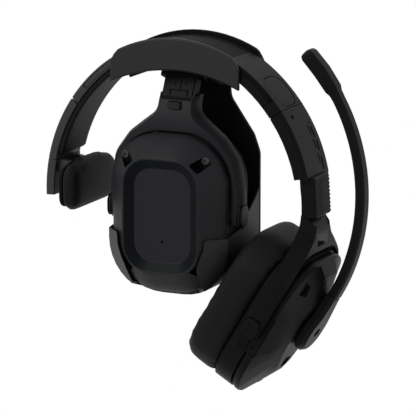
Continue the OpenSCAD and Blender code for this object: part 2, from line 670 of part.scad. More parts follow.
module right_housing() color(CHARCOAL) difference() {
    worn() housing(worn_ring);
    worn() noise_place() linear_extrude(8, center = true) polygon(rounded(7.4, 6.2, 1.4, steps = 3));
}
module right_shell() color(CHARCOAL) worn() facet_shell();
module right_baffle() color(BLACK) worn() baffle(worn_ring);
module right_driver() color(STEEL) worn() driver();
module right_grille() color(BLACK) worn() grille();
module right_cushion() color(SOFT) worn() cushion(worn_ring, cushion_t);
module right_board() color("#1d3b2a") worn()
    cup_slab(1.8, 3) polygon(rounded(shell_w - 15.6, shell_h - 35.5, 12));
module right_battery() color(GREY) worn() cup_slab(3, 8) polygon(rounded(32, 44, 3));
module charge_port() color(STEEL) worn() worn_port() difference() {
    translate([0, 0, 1.5]) cube([9, 3.4, 8], center = true);
    translate([0, 0, -1]) cube([8, 2.4, 9], center = true);
}
module boom_pin() color(STEEL) worn() translate([0, -14, boom_u]) rotate([90, 0, 0]) peg(3, 11);

// Small button on the front tab
module noise_place() translate([-(shell_w / 2 - 0.6), 0.4, -13]) rotate([0, -90, 0]) children();
module noise_button() color(BLACK) worn() noise_place()
    translate([0, 0, -2]) linear_extrude(3) polygon(rounded(6.8, 5.6, 1.2, steps = 3));

// ======== boom ========

paddle_o = 19.6;
paddle_t = 6.8;
boom_start = 31.4;

module boom_paddle() color(CHARCOAL) worn() difference() {
    union() {
        bevelled(outline(both_halves([[6.5, boom_start, 0], [8, 16, 8], [13, 10, 9], [13, -10.5, 12]])),
            [[paddle_o, 1], [paddle_o + 1, 0], [paddle_o + paddle_t - 2.4, 0], [paddle_o + paddle_t, 2.4]]);
    }
    translate([0, 0, boom_u]) rotate([90, 0, 0]) peg(3 + run, 40);
}

// Cross-section of the boom at angle a of its bend, w across and t thick
boom_mid = paddle_o + paddle_t / 2 + 0.6;
function boom_ring(a, w, t, r) = [
    for (q = rounded(w, t, r, steps = 3))
        [-q.x, -(boom_mid - boom_r) - (boom_r + q.y) * cos(a), boom_start + (boom_r + q.y) * sin(a)]
];

module boom_arm() color(CHARCOAL) worn() skin([
    for (i = [0:14]) let (f = i / 14) boom_ring(f * boom_sweep, 12 - 2.6 * f, 6.2 - 0.4 * f, 2)]);

module mic_head() color(CHARCOAL) worn() difference() {
    skin([for (s = [[0, 8.6, 6.2], [0.12, 11.6, 8], [0.3, 12.2, 8.8], [0.6, 12.2, 8.8], [0.85, 11.6, 8], [0.97, 9, 6], [1, 6, 4]])
        boom_ring(boom_sweep + 0.3 + s[0] * mic_sweep, s[1], s[2], min(s[1], s[2]) * 0.3)]);
    mic_place() peg(3.2, 4);
}
module mic_place() translate([0, -(boom_mid - boom_r), boom_start])
    rotate([90 - boom_sweep - 0.62 * mic_sweep, 0, 0]) translate([0, 0, boom_r - 5]) children();
module mic_capsule() color(BLACK) worn() mic_place() translate([0, 0, 0.8]) peg(3.2, 3.2);

// ======== second cup ========

stem_lean = 26;
// The stem's frame: Z up along it, from the top of the second yoke's neck, Y towards the wall
module stem() stowed() translate([0, 3.7, neck_u]) rotate([-stem_lean, 0, 0]) children();

module stem_connector() color(BLACK) difference() {
    stem() translate([0, 0, 11.5]) linear_extrude(9) polygon(rounded(29, 9, 3, steps = 4));
    stem() translate([0, 0, 11]) linear_extrude(5) square([20, 4], center = true);
    slab(-60, 0) floor_shape(0.05);
}

module second_stem() color(CHARCOAL) stem() difference() {
    union() {
        translate([0, 0, -8]) linear_extrude(19.5) square([22, 5], center = true);
        translate([0, 0, 11]) linear_extrude(4.8) square([19.6, 3.6], center = true);
    }
    translate([0, -2.6, 3]) cube([11, 1, 5], center = true);
}

module second_yoke() color(CHARCOAL) difference() {
    union() {
        stowed() yoke_arch();
        stem() translate([0, 0, -15]) linear_extrude(15) polygon(rounded(25, 9.6, 2.5, steps = 4));
    }
    stem() translate([0, 0, -14]) linear_extrude(40) square([22.4, 5.4], center = true);
    stowed() release_place() linear_extrude(9, center = true) polygon(rounded(8.8, 4.6, 1, steps = 3));
}
module release_place() translate([0, -yoke_front, 65]) rotate([90, 0, 0]) children();
module release_button() color(BLACK) stowed() release_place()
    translate([0, 0, -2]) linear_extrude(2.4) polygon(rounded(8.2, 4, 0.8, steps = 3));

module second_yoke_pins() color(STEEL) stowed() yoke_pins();
module second_pivot_caps() color(BLACK) stowed() pivot_caps();
module second_housing() color(CHARCOAL) stowed() housing(stowed_ring);
module second_shell() color(CHARCOAL) stowed() smooth_shell();
module second_baffle() color(BLACK) stowed() baffle(stowed_ring);
module second_driver() color(STEEL) stowed() driver();
module second_grille() color(BLACK) stowed() grille();
module second_cushion() color(SOFT) stowed() cushion(stowed_ring, pressed_t);
module second_shell_screws() color(STEEL) stowed() shell_screws();

back_plate();
saddle();
front_lip();
saddle_liner();
left_claw();
right_claw();
hanger_screws();
stem_connector();
second_stem();
crown_cover();
crown_inlay();
crown_spring();
crown_pad();
left_shoulder();
right_shoulder();
left_trim();
right_trim();
left_band();
right_band();
left_liner();
right_liner();
control_cover();
left_end();
temple_pin();
temple_carrier();
temple_pad();
right_blade();
right_grip();
right_yoke();
right_yoke_pins();
right_pivot_caps();
right_housing();
right_shell();
right_baffle();
right_driver();
right_grille();
right_cushion();
right_board();
right_battery();
charge_port();
boom_pin();
noise_button();
boom_paddle();
boom_arm();
mic_head();
mic_capsule();
second_yoke();
second_yoke_pins();
second_pivot_caps();
release_button();
second_housing();
second_shell();
second_baffle();
second_driver();
second_grille();
second_cushion();
second_shell_screws();
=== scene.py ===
"""Boom headset on its stowage hanger: its finishes, its soft parts and the outer forms that show
most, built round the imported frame."""
import json
import math

import bmesh
import bpy
import numpy as np
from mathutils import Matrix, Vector

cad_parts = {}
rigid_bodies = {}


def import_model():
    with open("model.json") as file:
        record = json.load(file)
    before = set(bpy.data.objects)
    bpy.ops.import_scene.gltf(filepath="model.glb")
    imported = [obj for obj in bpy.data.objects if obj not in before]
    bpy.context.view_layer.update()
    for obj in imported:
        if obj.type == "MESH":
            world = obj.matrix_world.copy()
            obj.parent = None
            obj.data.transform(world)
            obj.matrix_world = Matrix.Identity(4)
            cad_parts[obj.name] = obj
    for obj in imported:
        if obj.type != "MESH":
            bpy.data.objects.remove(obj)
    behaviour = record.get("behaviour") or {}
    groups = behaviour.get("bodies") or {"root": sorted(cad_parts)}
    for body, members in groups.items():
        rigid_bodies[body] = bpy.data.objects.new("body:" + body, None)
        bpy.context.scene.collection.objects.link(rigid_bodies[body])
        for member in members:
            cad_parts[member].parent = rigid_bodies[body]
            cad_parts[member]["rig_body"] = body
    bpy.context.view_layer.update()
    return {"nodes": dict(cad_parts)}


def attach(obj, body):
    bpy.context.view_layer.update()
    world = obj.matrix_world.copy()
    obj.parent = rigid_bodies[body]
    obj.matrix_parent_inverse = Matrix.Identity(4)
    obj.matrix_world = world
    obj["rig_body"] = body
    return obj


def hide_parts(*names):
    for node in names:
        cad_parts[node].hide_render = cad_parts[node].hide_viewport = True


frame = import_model()
parts = frame["nodes"]
MM = 0.001

# ==== Camera ====
# A long lens 25 degrees to the right of square on and 12 degrees above, so that the hanger,
# the docked cup and the outside of the boom cup all show.
look_at = Vector((19.745, -33.0, 3.348)) * MM
azimuth, elevation, distance = math.radians(25), math.radians(12), 2.0
to_camera = Vector((math.sin(azimuth) * math.cos(elevation), -math.cos(azimuth) * math.cos(elevation),
                    math.sin(elevation)))
lens = bpy.data.cameras.new("camera")
lens.lens, lens.sensor_width, lens.clip_end = 285.6, 36.0, 20.0
camera = bpy.data.objects.new("camera", lens)
camera.location = look_at + to_camera * distance
camera.rotation_euler = (-to_camera).to_track_quat("-Z", "Y").to_euler()
bpy.context.scene.collection.objects.link(camera)
bpy.context.scene.camera = camera
bpy.context.scene.view_settings.view_transform = "Standard"


# ==== Studio ====
# A pale matt floor under the headset, a white surround, one broad soft light from the upper left
# and a weaker one from the right.
def linear(code):
    """Linear RGBA of an sRGB hex colour: each channel through the sRGB curve."""
    c = np.array([int(code[i:i + 2], 16) / 255 for i in (1, 3, 5)])
    c = np.where(c <= 0.04045, c / 12.92, ((c + 0.055) / 1.055) ** 2.4)
    return (*c.tolist(), 1.0)


def add(tree, kind, inputs=None, **settings):
    """Adds one shader node; an input given as a socket is linked, any other is its value."""
    n = tree.nodes.new(kind)
    for key, value in settings.items():
        setattr(n, key, value)
    for key, value in (inputs or {}).items():
        if isinstance(value, bpy.types.NodeSocket):
            tree.links.new(value, n.inputs[key])
        else:
            n.inputs[key].default_value = value
    return n


def seen_directly(tree):
    """1 where a camera, glossy or transmission ray looks, else 0."""
    path = add(tree, "ShaderNodeLightPath")
    first = add(tree, "ShaderNodeMath", {0: path.outputs["Is Camera Ray"],
                                         1: path.outputs["Is Transmission Ray"]}, operation="MAXIMUM")
    return add(tree, "ShaderNodeMath", {0: first.outputs[0], 1: path.outputs["Is Glossy Ray"]},
               operation="MAXIMUM").outputs[0]


world = bpy.data.worlds.new("surround")
bpy.context.scene.world = world
world.use_nodes = True
tree = world.node_tree
tree.nodes.clear()
ambient = add(tree, "ShaderNodeBackground", {"Color": linear("#ffffff"), "Strength": 0.3})
white = add(tree, "ShaderNodeBackground", {"Color": linear("#ffffff"), "Strength": 1.0})
both = add(tree, "ShaderNodeMixShader", {0: seen_directly(tree), 1: ambient.outputs[0], 2: white.outputs[0]})
add(tree, "ShaderNodeOutputWorld", {"Surface": both.outputs[0]})


def lamp(name, place, size, power):
    """A square area light at place, turned towards the headset."""
    data = bpy.data.lights.new(name, "AREA")
    data.shape, data.size, data.energy = "SQUARE", size, power
    light = bpy.data.objects.new(name, data)
    light.location = place
    light.rotation_euler = (look_at - Vector(place)).to_track_quat("-Z", "Y").to_euler()
    bpy.context.scene.collection.objects.link(light)


lamp("key", (-1.0, -1.5, 1.2), 1.1, 20)
lamp("fill", (1.7, -0.7, 0.35), 0.9, 2.5)


def blank_material(name):
    """A new material with an empty node tree."""
    material = bpy.data.materials.new(name)
    material.use_nodes = True
    material.node_tree.nodes.clear()
    return material, material.node_tree


floor_z = -0.30
floor_mesh = bpy.data.meshes.new("floor")
floor_mesh.from_pydata([(-4, -4, floor_z), (4, -4, floor_z), (4, 4, floor_z), (-4, 4, floor_z)], [],
                       [(0, 1, 2, 3)])
studio_floor = bpy.data.objects.new("floor", floor_mesh)
bpy.context.scene.collection.objects.link(studio_floor)
paint, tree = blank_material("floor_paint")
matt = add(tree, "ShaderNodeBsdfDiffuse", {"Color": linear("#dcdcdc")})
glow = add(tree, "ShaderNodeEmission", {"Color": linear("#ffffff"), "Strength": 1.0})
mixed = add(tree, "ShaderNodeMixShader", {0: seen_directly(tree), 1: matt.outputs[0], 2: glow.outputs[0]})
add(tree, "ShaderNodeOutputMaterial", {"Surface": mixed.outputs[0]})
floor_mesh.materials.append(paint)


# ==== Hanger ====
# Injection-moulded glass-filled nylon: a back plate, a saddle with two lips, and two claws. The
# steel tool is spark-eroded, which leaves an even matt grain. The plate and the saddle are painted near
# black as painted shade, and the front lip and the claws a lighter charcoal as painted light.
def moulded(name, colour, second, roughness, grit=0.45, depth=0.03, specular=0.25):
    """Moulded plastic: colour drifts between two shades over 30 mm, and noise of grit mm is the
    grain, depth mm deep. A real grain of 0.1 mm is drawn coarser so that it shows."""
    material, tree = blank_material(name)
    place = add(tree, "ShaderNodeTexCoord").outputs["Object"]
    drift = add(tree, "ShaderNodeTexNoise", {"Vector": place, "Scale": 33.0, "Detail": 2.0})
    shade = add(tree, "ShaderNodeMix", {0: drift.outputs["Fac"], 6: linear(colour), 7: linear(second)},
                data_type="RGBA")
    grain = add(tree, "ShaderNodeTexNoise", {"Vector": place, "Scale": 1000 / grit, "Detail": 1.0})
    rough = add(tree, "ShaderNodeMapRange", {"Value": grain.outputs["Fac"], 3: roughness - 0.05,
                                             4: roughness + 0.05})
    bump = add(tree, "ShaderNodeBump", {"Height": grain.outputs["Fac"], "Distance": depth * MM,
                                        "Strength": 0.6})
    shader = add(tree, "ShaderNodeBsdfPrincipled", {
        "Base Color": shade.outputs[2], "Roughness": rough.outputs[0], "Normal": bump.outputs[0],
        "IOR": 1.5, "Specular IOR Level": specular})
    add(tree, "ShaderNodeOutputMaterial", {"Surface": shader.outputs[0]})
    return material


# one nylon in two copies: near black for painted shade and charcoal for painted light
shaded_nylon_black = moulded("glass_filled_nylon_painted_shade", "#050506", "#080809", 0.7, specular=0.1)
lit_nylon_grey = moulded("glass_filled_nylon_painted_light", "#151518", "#19191c", 0.5)


def apply_modifiers(piece):
    """The piece's evaluated mesh becomes its own, and its modifiers go."""
    graph = bpy.context.evaluated_depsgraph_get()
    mesh = bpy.data.meshes.new_from_object(piece.evaluated_get(graph))
    piece.modifiers.clear()
    piece.data = mesh
    return mesh


def dress(piece, material, nodes, edge=0.35, angle=20, join=True):
    """Finishes a piece that stands for CAD nodes: doubles merged, flat areas joined unless `join`
    is off, edges over `angle` degrees rounded by `edge` mm and normals weighted by area. It rides
    where the nodes ride."""
    mesh = piece.data
    mesh.materials.clear()
    mesh.materials.append(material)
    if piece.name not in bpy.context.scene.collection.objects:
        bpy.context.scene.collection.objects.link(piece)
    weld = piece.modifiers.new("weld", "WELD")
    weld.merge_threshold = 0.000004
    if join:
        flat = piece.modifiers.new("flat", "DECIMATE")
        flat.decimate_type, flat.angle_limit = "DISSOLVE", math.radians(0.5)
    if edge:
        bevel = piece.modifiers.new("edges", "BEVEL")
        bevel.width, bevel.segments = edge * MM, 2
        bevel.limit_method, bevel.angle_limit = "ANGLE", math.radians(angle)
        bevel.use_clamp_overlap = True
    final = apply_modifiers(piece)
    final.shade_smooth()
    final.set_sharp_from_angle(angle=math.radians(40 if edge else angle))
    weighted = piece.modifiers.new("weighted", "WEIGHTED_NORMAL")
    weighted.keep_sharp = True
    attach(piece, parts[nodes[0]]["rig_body"])
    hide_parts(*nodes)


def skin_of(node, material, **finish):
    """A CAD node's own surface, finished by dress()."""
    piece = bpy.data.objects.new(node + "_skin", parts[node].data.copy())
    dress(piece, material, [node], **finish)


# the plate, the saddle and the connector take the painted shade, the lip and the claws the painted light
for node, material in {"back_plate": shaded_nylon_black, "saddle": shaded_nylon_black, "stem_connector": shaded_nylon_black,
                       "front_lip": lit_nylon_grey, "left_claw": lit_nylon_grey, "right_claw": lit_nylon_grey}.items():
    skin_of(node, material)

# ==== Moulded parts of the headset ====
# The shells, yokes and band are polycarbonate with a matt soft-touch paint: an even dark grey whose
# edges catch a soft line of light. The paint comes in three copies: the parts that sit in shade, on the
# worn side and under the hanger, are painted darker as painted shade, and the left side of the band is
# painted lighter as painted light, with a glossier coat.
shell_grey = moulded("soft_touch_polycarbonate", "#1b1b1e", "#1f1f22", 0.5, 0.4, specular=0.14)
# a darker copy of the same paint, which paints shade
shaded_grey = moulded("soft_touch_polycarbonate_painted_shade", "#0c0c0d", "#101011", 0.42, 0.4, specular=0.06)
# a lighter copy of the same paint, which paints light on the left side of the band
lit_grey = moulded("satin_polycarbonate_painted_light", "#29292b", "#2f2f31", 0.42, 0.4, specular=0.3)


def rounded_path(corners, steps=9, closed=True):
    """Outline through corners [x, y, r]: each corner becomes an arc that meets both its sides."""
    corners = np.array(corners, float)
    out = []
    for i, (x, y, r) in enumerate(corners):
        b = np.array([x, y])
        if r <= 0 or (not closed and i in (0, len(corners) - 1)):
            out.append(b[None])
            continue
        u = corners[i - 1][:2] - b
        v = corners[(i + 1) % len(corners)][:2] - b
        u, v = u / np.linalg.norm(u), v / np.linalg.norm(v)
        half = math.acos(np.clip(u @ v, -1, 1)) / 2
        centre = b + (u + v) / np.linalg.norm(u + v) * r / math.sin(half)
        p, q = b + u * r / math.tan(half) - centre, b + v * r / math.tan(half) - centre
        start = math.atan2(p[1], p[0])
        turn = (math.atan2(q[1], q[0]) - start + 3 * math.pi) % (2 * math.pi) - math.pi
        a = start + turn * np.linspace(0, 1, steps + 1)
        out.append(centre + r * np.column_stack((np.cos(a), np.sin(a))))
    return np.concatenate(out)


def rounded_box(width, height, radius, centre=(0, 0), steps=9):
    """Counter-clockwise rounded rectangle in (x, u)."""
    w, h = width / 2, height / 2
    box = [[w, -h, radius], [w, h, radius], [-w, h, radius], [-w, -h, radius]]
    return rounded_path(box, steps) + np.array(centre)


def along(path, t, closed=False):
    """Points of a path at the shares t of its length."""
    if closed:
        path = np.vstack((path, path[:1]))
    length = np.concatenate(([0], np.cumsum(np.linalg.norm(np.diff(path, axis=0), axis=1))))
    length /= length[-1]
    return np.column_stack([np.interp(t, length, path[:, k]) for k in range(path.shape[1])])


def drawn_in(path, d, closed=True):
    """A counter-clockwise path moved to its left by d (a number or one per point)."""
    ahead = np.roll(path, -1, 0) - path
    behind = path - np.roll(path, 1, 0)
    if not closed:
        ahead[-1], behind[0] = behind[-1], ahead[0]
    e = ahead / np.maximum(np.linalg.norm(ahead, axis=1), 1e-9)[:, None]
    f = behind / np.maximum(np.linalg.norm(behind, axis=1), 1e-9)[:, None]
    m = e + f
    m /= np.linalg.norm(m, axis=1)[:, None]
    stretch = np.maximum(0.5, (m * e).sum(1))
    return path + np.column_stack((-m[:, 1], m[:, 0])) * (np.asarray(d) / stretch)[..., None]


stowed_y, stowed_z = -34.4, 1
worn_lean, worn_x, worn_z = math.radians(31), 62.6, -59.7
headset_y = -22


def stowed(p):
    """Cup coordinates (x across, o outward, u up) of the stowed cup, in the row frame, in mm."""
    return np.stack((p[..., 0], stowed_y - p[..., 1], stowed_z + p[..., 2]), -1)


def worn(p):
    """Cup coordinates of the worn cup, which leans outwards, in the row frame, in mm."""
    c, s = math.cos(worn_lean), math.sin(worn_lean)
    return np.stack((worn_x + c * p[..., 1] + s * p[..., 2], headset_y + p[..., 0],
                     worn_z - s * p[..., 1] + c * p[..., 2]), -1)


def at_depth(outline, o):
    """An outline in (x, u) lifted to the distance o out of the cup."""
    return np.column_stack((outline[:, 0], np.full(len(outline), o), outline[:, 1]))


def surface(name, grid, closed=(True, False), caps=True):
    """Mesh over a grid (m, n, 3) in mm: quads between neighbours, rows closed in n, and flat end
    faces over the first and last row."""
    m, n = grid.shape[:2]
    index = np.arange(m * n).reshape(m, n)
    rows = index if not closed[1] else np.vstack((index, index[:1]))
    across = np.roll(rows, -1, 1) if closed[0] else rows[:, 1:]
    base = rows if closed[0] else rows[:, :-1]
    quads = np.stack((base[:-1], across[:-1], across[1:], base[1:]), -1).reshape(-1, 4)
    faces = quads.tolist()
    if caps and closed[0] and not closed[1]:
        faces += [index[0][::-1].tolist(), index[-1].tolist()]
    mesh = bpy.data.meshes.new(name)
    mesh.from_pydata((grid.reshape(-1, 3) * MM).tolist(), [], faces)
    mesh.validate()
    piece = bpy.data.objects.new(name, mesh)
    bpy.context.scene.collection.objects.link(piece)
    outward(piece)
    return piece


def outward(piece):
    """Turns a closed surface's faces outwards: its signed volume becomes positive."""
    bm = bmesh.new()
    bm.from_mesh(piece.data)
    bmesh.ops.recalc_face_normals(bm, faces=bm.faces)
    bm.to_mesh(piece.data)
    bm.free()


def cut(piece, *tools, operation="DIFFERENCE"):
    """Takes the tools' volumes out of a piece and deletes the tools."""
    for tool in tools:
        knife = piece.modifiers.new("cut", "BOOLEAN")
        knife.operation, knife.solver, knife.object = operation, "EXACT", tool
        apply_modifiers(piece)
        bpy.data.objects.remove(tool)
    return piece


# ==== Yokes ====
# Each cup hangs in a forked arm of painted polycarbonate: a flat front with a wide bevel along the
# outside, which sweeps up into a neck that leans back to the slide.
arm_end = 8.4
neck_start, neck_top, neck_half = 62, 71, 13.2
outer_side = rounded_path([[44.0, -arm_end, 0], [44.6, 3, 8], [44.0, 17, 20], [41.0, 33.5, 14],
                           [31.5, 46.6, 16], [13.6, 60.6, 7], [neck_half, neck_top, 0]], 10, closed=False)
arm_inside, crotch = 38.4, 48.9


def yoke(name, place, top_u, half_top, bend_start, bend, front, hollow):
    """A ring carried along the fork from one arm's end to the other. At each station the section
    runs from the outer side to the inner one, and every point moves back by bend * (u -
    bend_start)^2 above bend_start, which leans the neck."""
    outer = outer_side.copy()
    inner_side = rounded_path([[arm_inside, -arm_end, 0], [arm_inside, crotch, hollow], [6, crotch, 0]], 16,
                              closed=False)
    neck = outer[:, 1] > neck_start
    neck_length = top_u - neck_start
    outer[neck, 1] = neck_start + (outer[neck, 1] - neck_start) * neck_length / (neck_top - neck_start)
    outer[neck, 0] += (half_top - neck_half) * (outer[neck, 1] - neck_start) / neck_length
    t = np.concatenate((np.linspace(0, 0.93, 46), np.linspace(0.935, 1, 8)))
    side = along(outer, t)
    inner = along(inner_side, np.interp(t, [0, 0.35, 0.62, 0.85, 1], [0, 0.46, 0.72, 0.9, 1]))
    across = np.linspace(1, 0, 7)[1:-1]
    side = np.vstack((side, np.column_stack((across * side[-1, 0], np.full(5, side[-1, 1])))))
    inner = np.vstack((inner, np.column_stack((across * inner[-1, 0], np.full(5, inner[-1, 1])))))
    flip = np.array([-1, 1])
    side = np.vstack((side, [[0, side[-1, 1]]], side[::-1] * flip))
    inner = np.vstack((inner, [[0, inner[-1, 1]]], inner[::-1] * flip))
    normal_out = drawn_in(side, 1.0, closed=False) - side
    normal_in = inner - drawn_in(inner, 1.0, closed=False)

    def row(outer_inset, inner_inset, share, o):
        """The fork's line at the depth o, which lies at a share of the way from outside to inside."""
        a, b = side + normal_out * outer_inset, inner + normal_in * inner_inset
        return np.stack((*(a + (b - a) * share).T, np.full(len(a), o)), -1)[:, [0, 2, 1]]

    back, bevel = -5, 3.0
    rows = [row(1.0, 0, 0, back), row(0, 0, 0, back + 1), row(0, 0, 0, front - 5.4),
            row(2.2, 0, 0, front - 0.8), row(bevel, 0, 0, front)]
    rows += [row(bevel, 0.6, share, front) for share in np.linspace(0, 1, 6)[1:]]
    rows += [row(0, 0, 1, front - 0.6), row(0, 0, 1, back + 0.5), row(0, 0.5, 1, back)]
    rows += [row(1.0, 0.5, share, back) for share in np.linspace(1, 0, 6)[1:-1]]
    grid = np.stack(rows, 1)
    # the arms' ends are rounded in side view: a point below the pivot rises by 0.09 of the square of its
    # distance in o from 0.6, which is near the arm's middle, and in full only at the arm's end
    low = grid[..., 2] < 0
    grid[..., 2][low] += (0.09 * (grid[..., 1][low] - 0.6) ** 2) * np.clip(-grid[..., 2][low] / arm_end, 0, 1)
    above = np.maximum(0, grid[..., 2] - bend_start)
    grid[..., 1] -= bend * above ** 2
    return surface(name, place(grid))


def box_in(place, size, centre, turn=0.0):
    """A cutting box: size and centre in cup coordinates, turned about x by `turn` degrees."""
    corners = np.array([[x, y, z] for z in (-1, 1) for x, y in ((-1, -1), (1, -1), (1, 1), (-1, 1))]) / 2
    p = corners * np.array(size)
    c, s = math.cos(math.radians(turn)), math.sin(math.radians(turn))
    p = np.stack((p[:, 0], p[:, 1] * c - p[:, 2] * s, p[:, 1] * s + p[:, 2] * c), -1) + np.array(centre)
    return surface("box", place(p.reshape(2, 4, 3)))


second_yoke = yoke("second_yoke_arm", stowed, neck_top, neck_half, 50, 0.0125, 6.6, 31)
stem_slot = box_in(stowed, (22.8, 5.8, 42), (0, -6.33, 74.89), 26)
button_recess = box_in(stowed, (9, 6, 4.8), (0, 4.4, 65))
cut(second_yoke, stem_slot, button_recess)
dress(second_yoke, shell_grey, ["second_yoke"], edge=0.3, angle=28)
# the worn cup's fork takes the darker copy of the paint, as painted shade
right_yoke = yoke("right_yoke_arm", worn, 65.6, 12.4, 28.4, 0.0091, 6.2, 26)
dress(right_yoke, shaded_grey, ["right_yoke"], edge=0.3, angle=28)

# ==== Tilt pin caps ====
# A rounded cap of the same painted polycarbonate is pressed over each tilt pin, nearly flush in the
# fork's outer face, with a fine groove round it.
def cup_stack(name, place, outlines):
    """Rings of (outline in (x, u), o), joined in their order along the cup's axis."""
    return surface(name, place(np.stack([at_depth(p, o) for p, o in outlines])))


def side_stack(name, place, outlines):
    """Rings of (outline in (o, u), x) joined along x."""
    return surface(name, place(np.stack([np.column_stack((np.full(len(p), x), p)) for p, x in outlines])))


def cap_outline(grow):
    """The cap's rounded square in (o, u), `grow` mm wider on every side."""
    return rounded_box(10.8 + 2 * grow, 12.8 + 2 * grow, 4.0 + grow, (0.4, 0))


def cap_groove(place, x0, x1):
    """A cutting prism along x, 0.45 mm wider than the cap on every side."""
    return side_stack("groove", place, [(cap_outline(0.45), x) for x in (x0, x1)])


def caps(name, node, place, material):
    """Two rounded squares over the pins, drawn in towards their face."""
    halves = []
    for s in (-1, 1):
        rings = [(cap_outline(-inset), s * x)
                 for inset, x in ((0, 42.9), (0, 44.7), (0.35, 45.2), (1.5, 45.4))]
        halves.append(side_stack(name + str(s), place, rings))
    joined = cut(halves[0], halves[1], operation="UNION")
    joined.name = name
    dress(joined, material, [node], edge=0.15, angle=30)


for arm_piece, place in ((second_yoke, stowed), (right_yoke, worn)):
    cut(arm_piece, cap_groove(place, 43.5, 47), cap_groove(place, -47, -43.5))
# the worn cup's caps take the darker copy of the paint, as painted shade
caps("right_caps", "right_pivot_caps", worn, shaded_grey)
caps("second_caps", "second_pivot_caps", stowed, shell_grey)


# ==== Stowed cup's shell ====
# Painted polycarbonate shell: a rounded skirt, a bevelled shoulder and an island panel let into its
# face behind a chamfered moat. A screw sits in a diamond pocket near each corner.
def prism(place, outline, o0, o1):
    """A cutting prism over an outline in (x, u) from depth o0 to o1."""
    return cup_stack("prism", place, [(outline, o0), (outline, o1)])


# width, height, corner radius and depth of each ring, from the back edge over the rim to the island
stowed_rings = [(68, 90, 27, 4.5), (72.6, 94, 31, 3.4), (75.2, 97, 31, 8.4), (75.6, 97.5, 31, 11.6),
                (74.6, 96.5, 30.6, 12.8), (70.8, 93.2, 29.6, 15.4), (63, 85.4, 26, 19.2),
                (56, 77, 21.5, 22.4), (51.6, 71.6, 18, 24.5), (50.4, 70.4, 17, 24.8),
                (48.8, 68.8, 16.2, 24.7), (37.6, 57.6, 11.4, 21.7), (36.4, 56.4, 11, 21.6)]
stowed_shell = cup_stack("second_cup_shell", stowed,
                         [(rounded_box(w, h, r), o) for w, h, r, o in stowed_rings])
diamonds = [prism(stowed, rounded_path([[sx * 18.4, sz * 33.0, 1.0], [sx * 24.2, sz * 27.8, 1.2],
                                        [sx * 31, sz * 34.2, 1.4], [sx * 28, sz * 39, 1.2]], 4), 15.8, 30)
            for sx in (-1, 1) for sz in (-1, 1)]
reset = prism(stowed, rounded_box(1.6, 1.6, 0.75, (0, -16), 6), 20.4, 30)
cut(stowed_shell, *diamonds, reset)
dress(stowed_shell, shell_grey, ["second_shell"], edge=0.22, angle=22)
# the moat's walls and the screw pockets are painted near black as painted shade, so that they read as let in
moat_shade = moulded("painted_shade_black_polycarbonate", "#080b0d", "#0a0d0f", 0.36, 0.1, specular=0.05)
faces = stowed_shell.data
faces.materials.append(moat_shade)
spot, facing = np.empty(len(faces.polygons) * 3), np.empty(len(faces.polygons) * 3)
faces.polygons.foreach_get("center", spot)
faces.polygons.foreach_get("normal", facing)
spot, facing_y = spot.reshape(-1, 3) / MM, facing.reshape(-1, 3)[:, 1]
sideways, depth, height = np.abs(spot[:, 0]), stowed_y - spot[:, 1], np.abs(spot[:, 2] - stowed_z)
moat_corner, moat_radius = (8.2, 18.2), 16.8
beyond = np.maximum(np.column_stack((sideways, height)) - moat_corner, 0)
wall = (np.hypot(*beyond.T) < moat_radius) & (depth > 21.4) & (facing_y > -0.985)
pocket = ((np.abs(sideways - 24) < 8) & (np.abs(height - 33) < 7) & (depth > 15.5)
          & ((depth < 16) | (np.abs(facing_y) < 0.3)))
faces.polygons.foreach_set("material_index", (wall | pocket).astype(np.int32))


# ==== Screws of the stowed cup ====
# Pan heads with a six-lobed socket, in cold-headed steel with a black oxide finish. They sit on the
# floor of the shell's diamond pockets.
def steel(name, colour, roughness):
    """Zinc-plated or black-oxide steel: fine turned marks 0.3 mm apart give it an uneven gloss."""
    material, tree = blank_material(name)
    place = add(tree, "ShaderNodeTexCoord").outputs["Object"]
    marks = add(tree, "ShaderNodeTexNoise", {"Vector": place, "Scale": 3300.0, "Detail": 1.0})
    rough = add(tree, "ShaderNodeMapRange", {"Value": marks.outputs["Fac"], 3: roughness - 0.08,
                                             4: roughness + 0.08})
    shader = add(tree, "ShaderNodeBsdfPrincipled", {
        "Base Color": linear(colour), "Roughness": rough.outputs[0], "Metallic": 1.0})
    add(tree, "ShaderNodeOutputMaterial", {"Surface": shader.outputs[0]})
    return material


dark_steel = steel("black_oxide_steel", "#3a3b3d", 0.42)
around = np.linspace(0, 2 * np.pi, 24, endpoint=False)


def turned(name, place, centre, profile):
    """A profile of (radius, o, ripple) turned about the cup's outward axis; the radius swings six
    times round by the share `ripple`."""
    rings = []
    for radius, o, ripple in profile:
        r = radius * (1 + ripple * np.cos(6 * around))
        rings.append(np.column_stack((r * np.cos(around) + centre[0], np.full(len(around), o),
                                      r * np.sin(around) + centre[1])))
    return surface(name, place(np.stack(rings)))


screw_profile = [(1.25, 10, 0), (1.25, 15.9, 0), (2.5, 15.9, 0), (2.5, 17.0, 0), (2.1, 17.5, 0),
                 (1.25, 17.6, 0), (1.1, 17.55, 0.12), (1.0, 16.6, 0.12)]
screws = [turned("screw", stowed, (sx * 26.6, sz * 35.2), screw_profile) for sx in (-1, 1) for sz in (-1, 1)]
heads = screws[0]
for other in screws[1:]:
    cut(heads, other, operation="UNION")
heads.name = "second_shell_screw_heads"
dress(heads, dark_steel, ["second_shell_screws"], edge=0, angle=35)

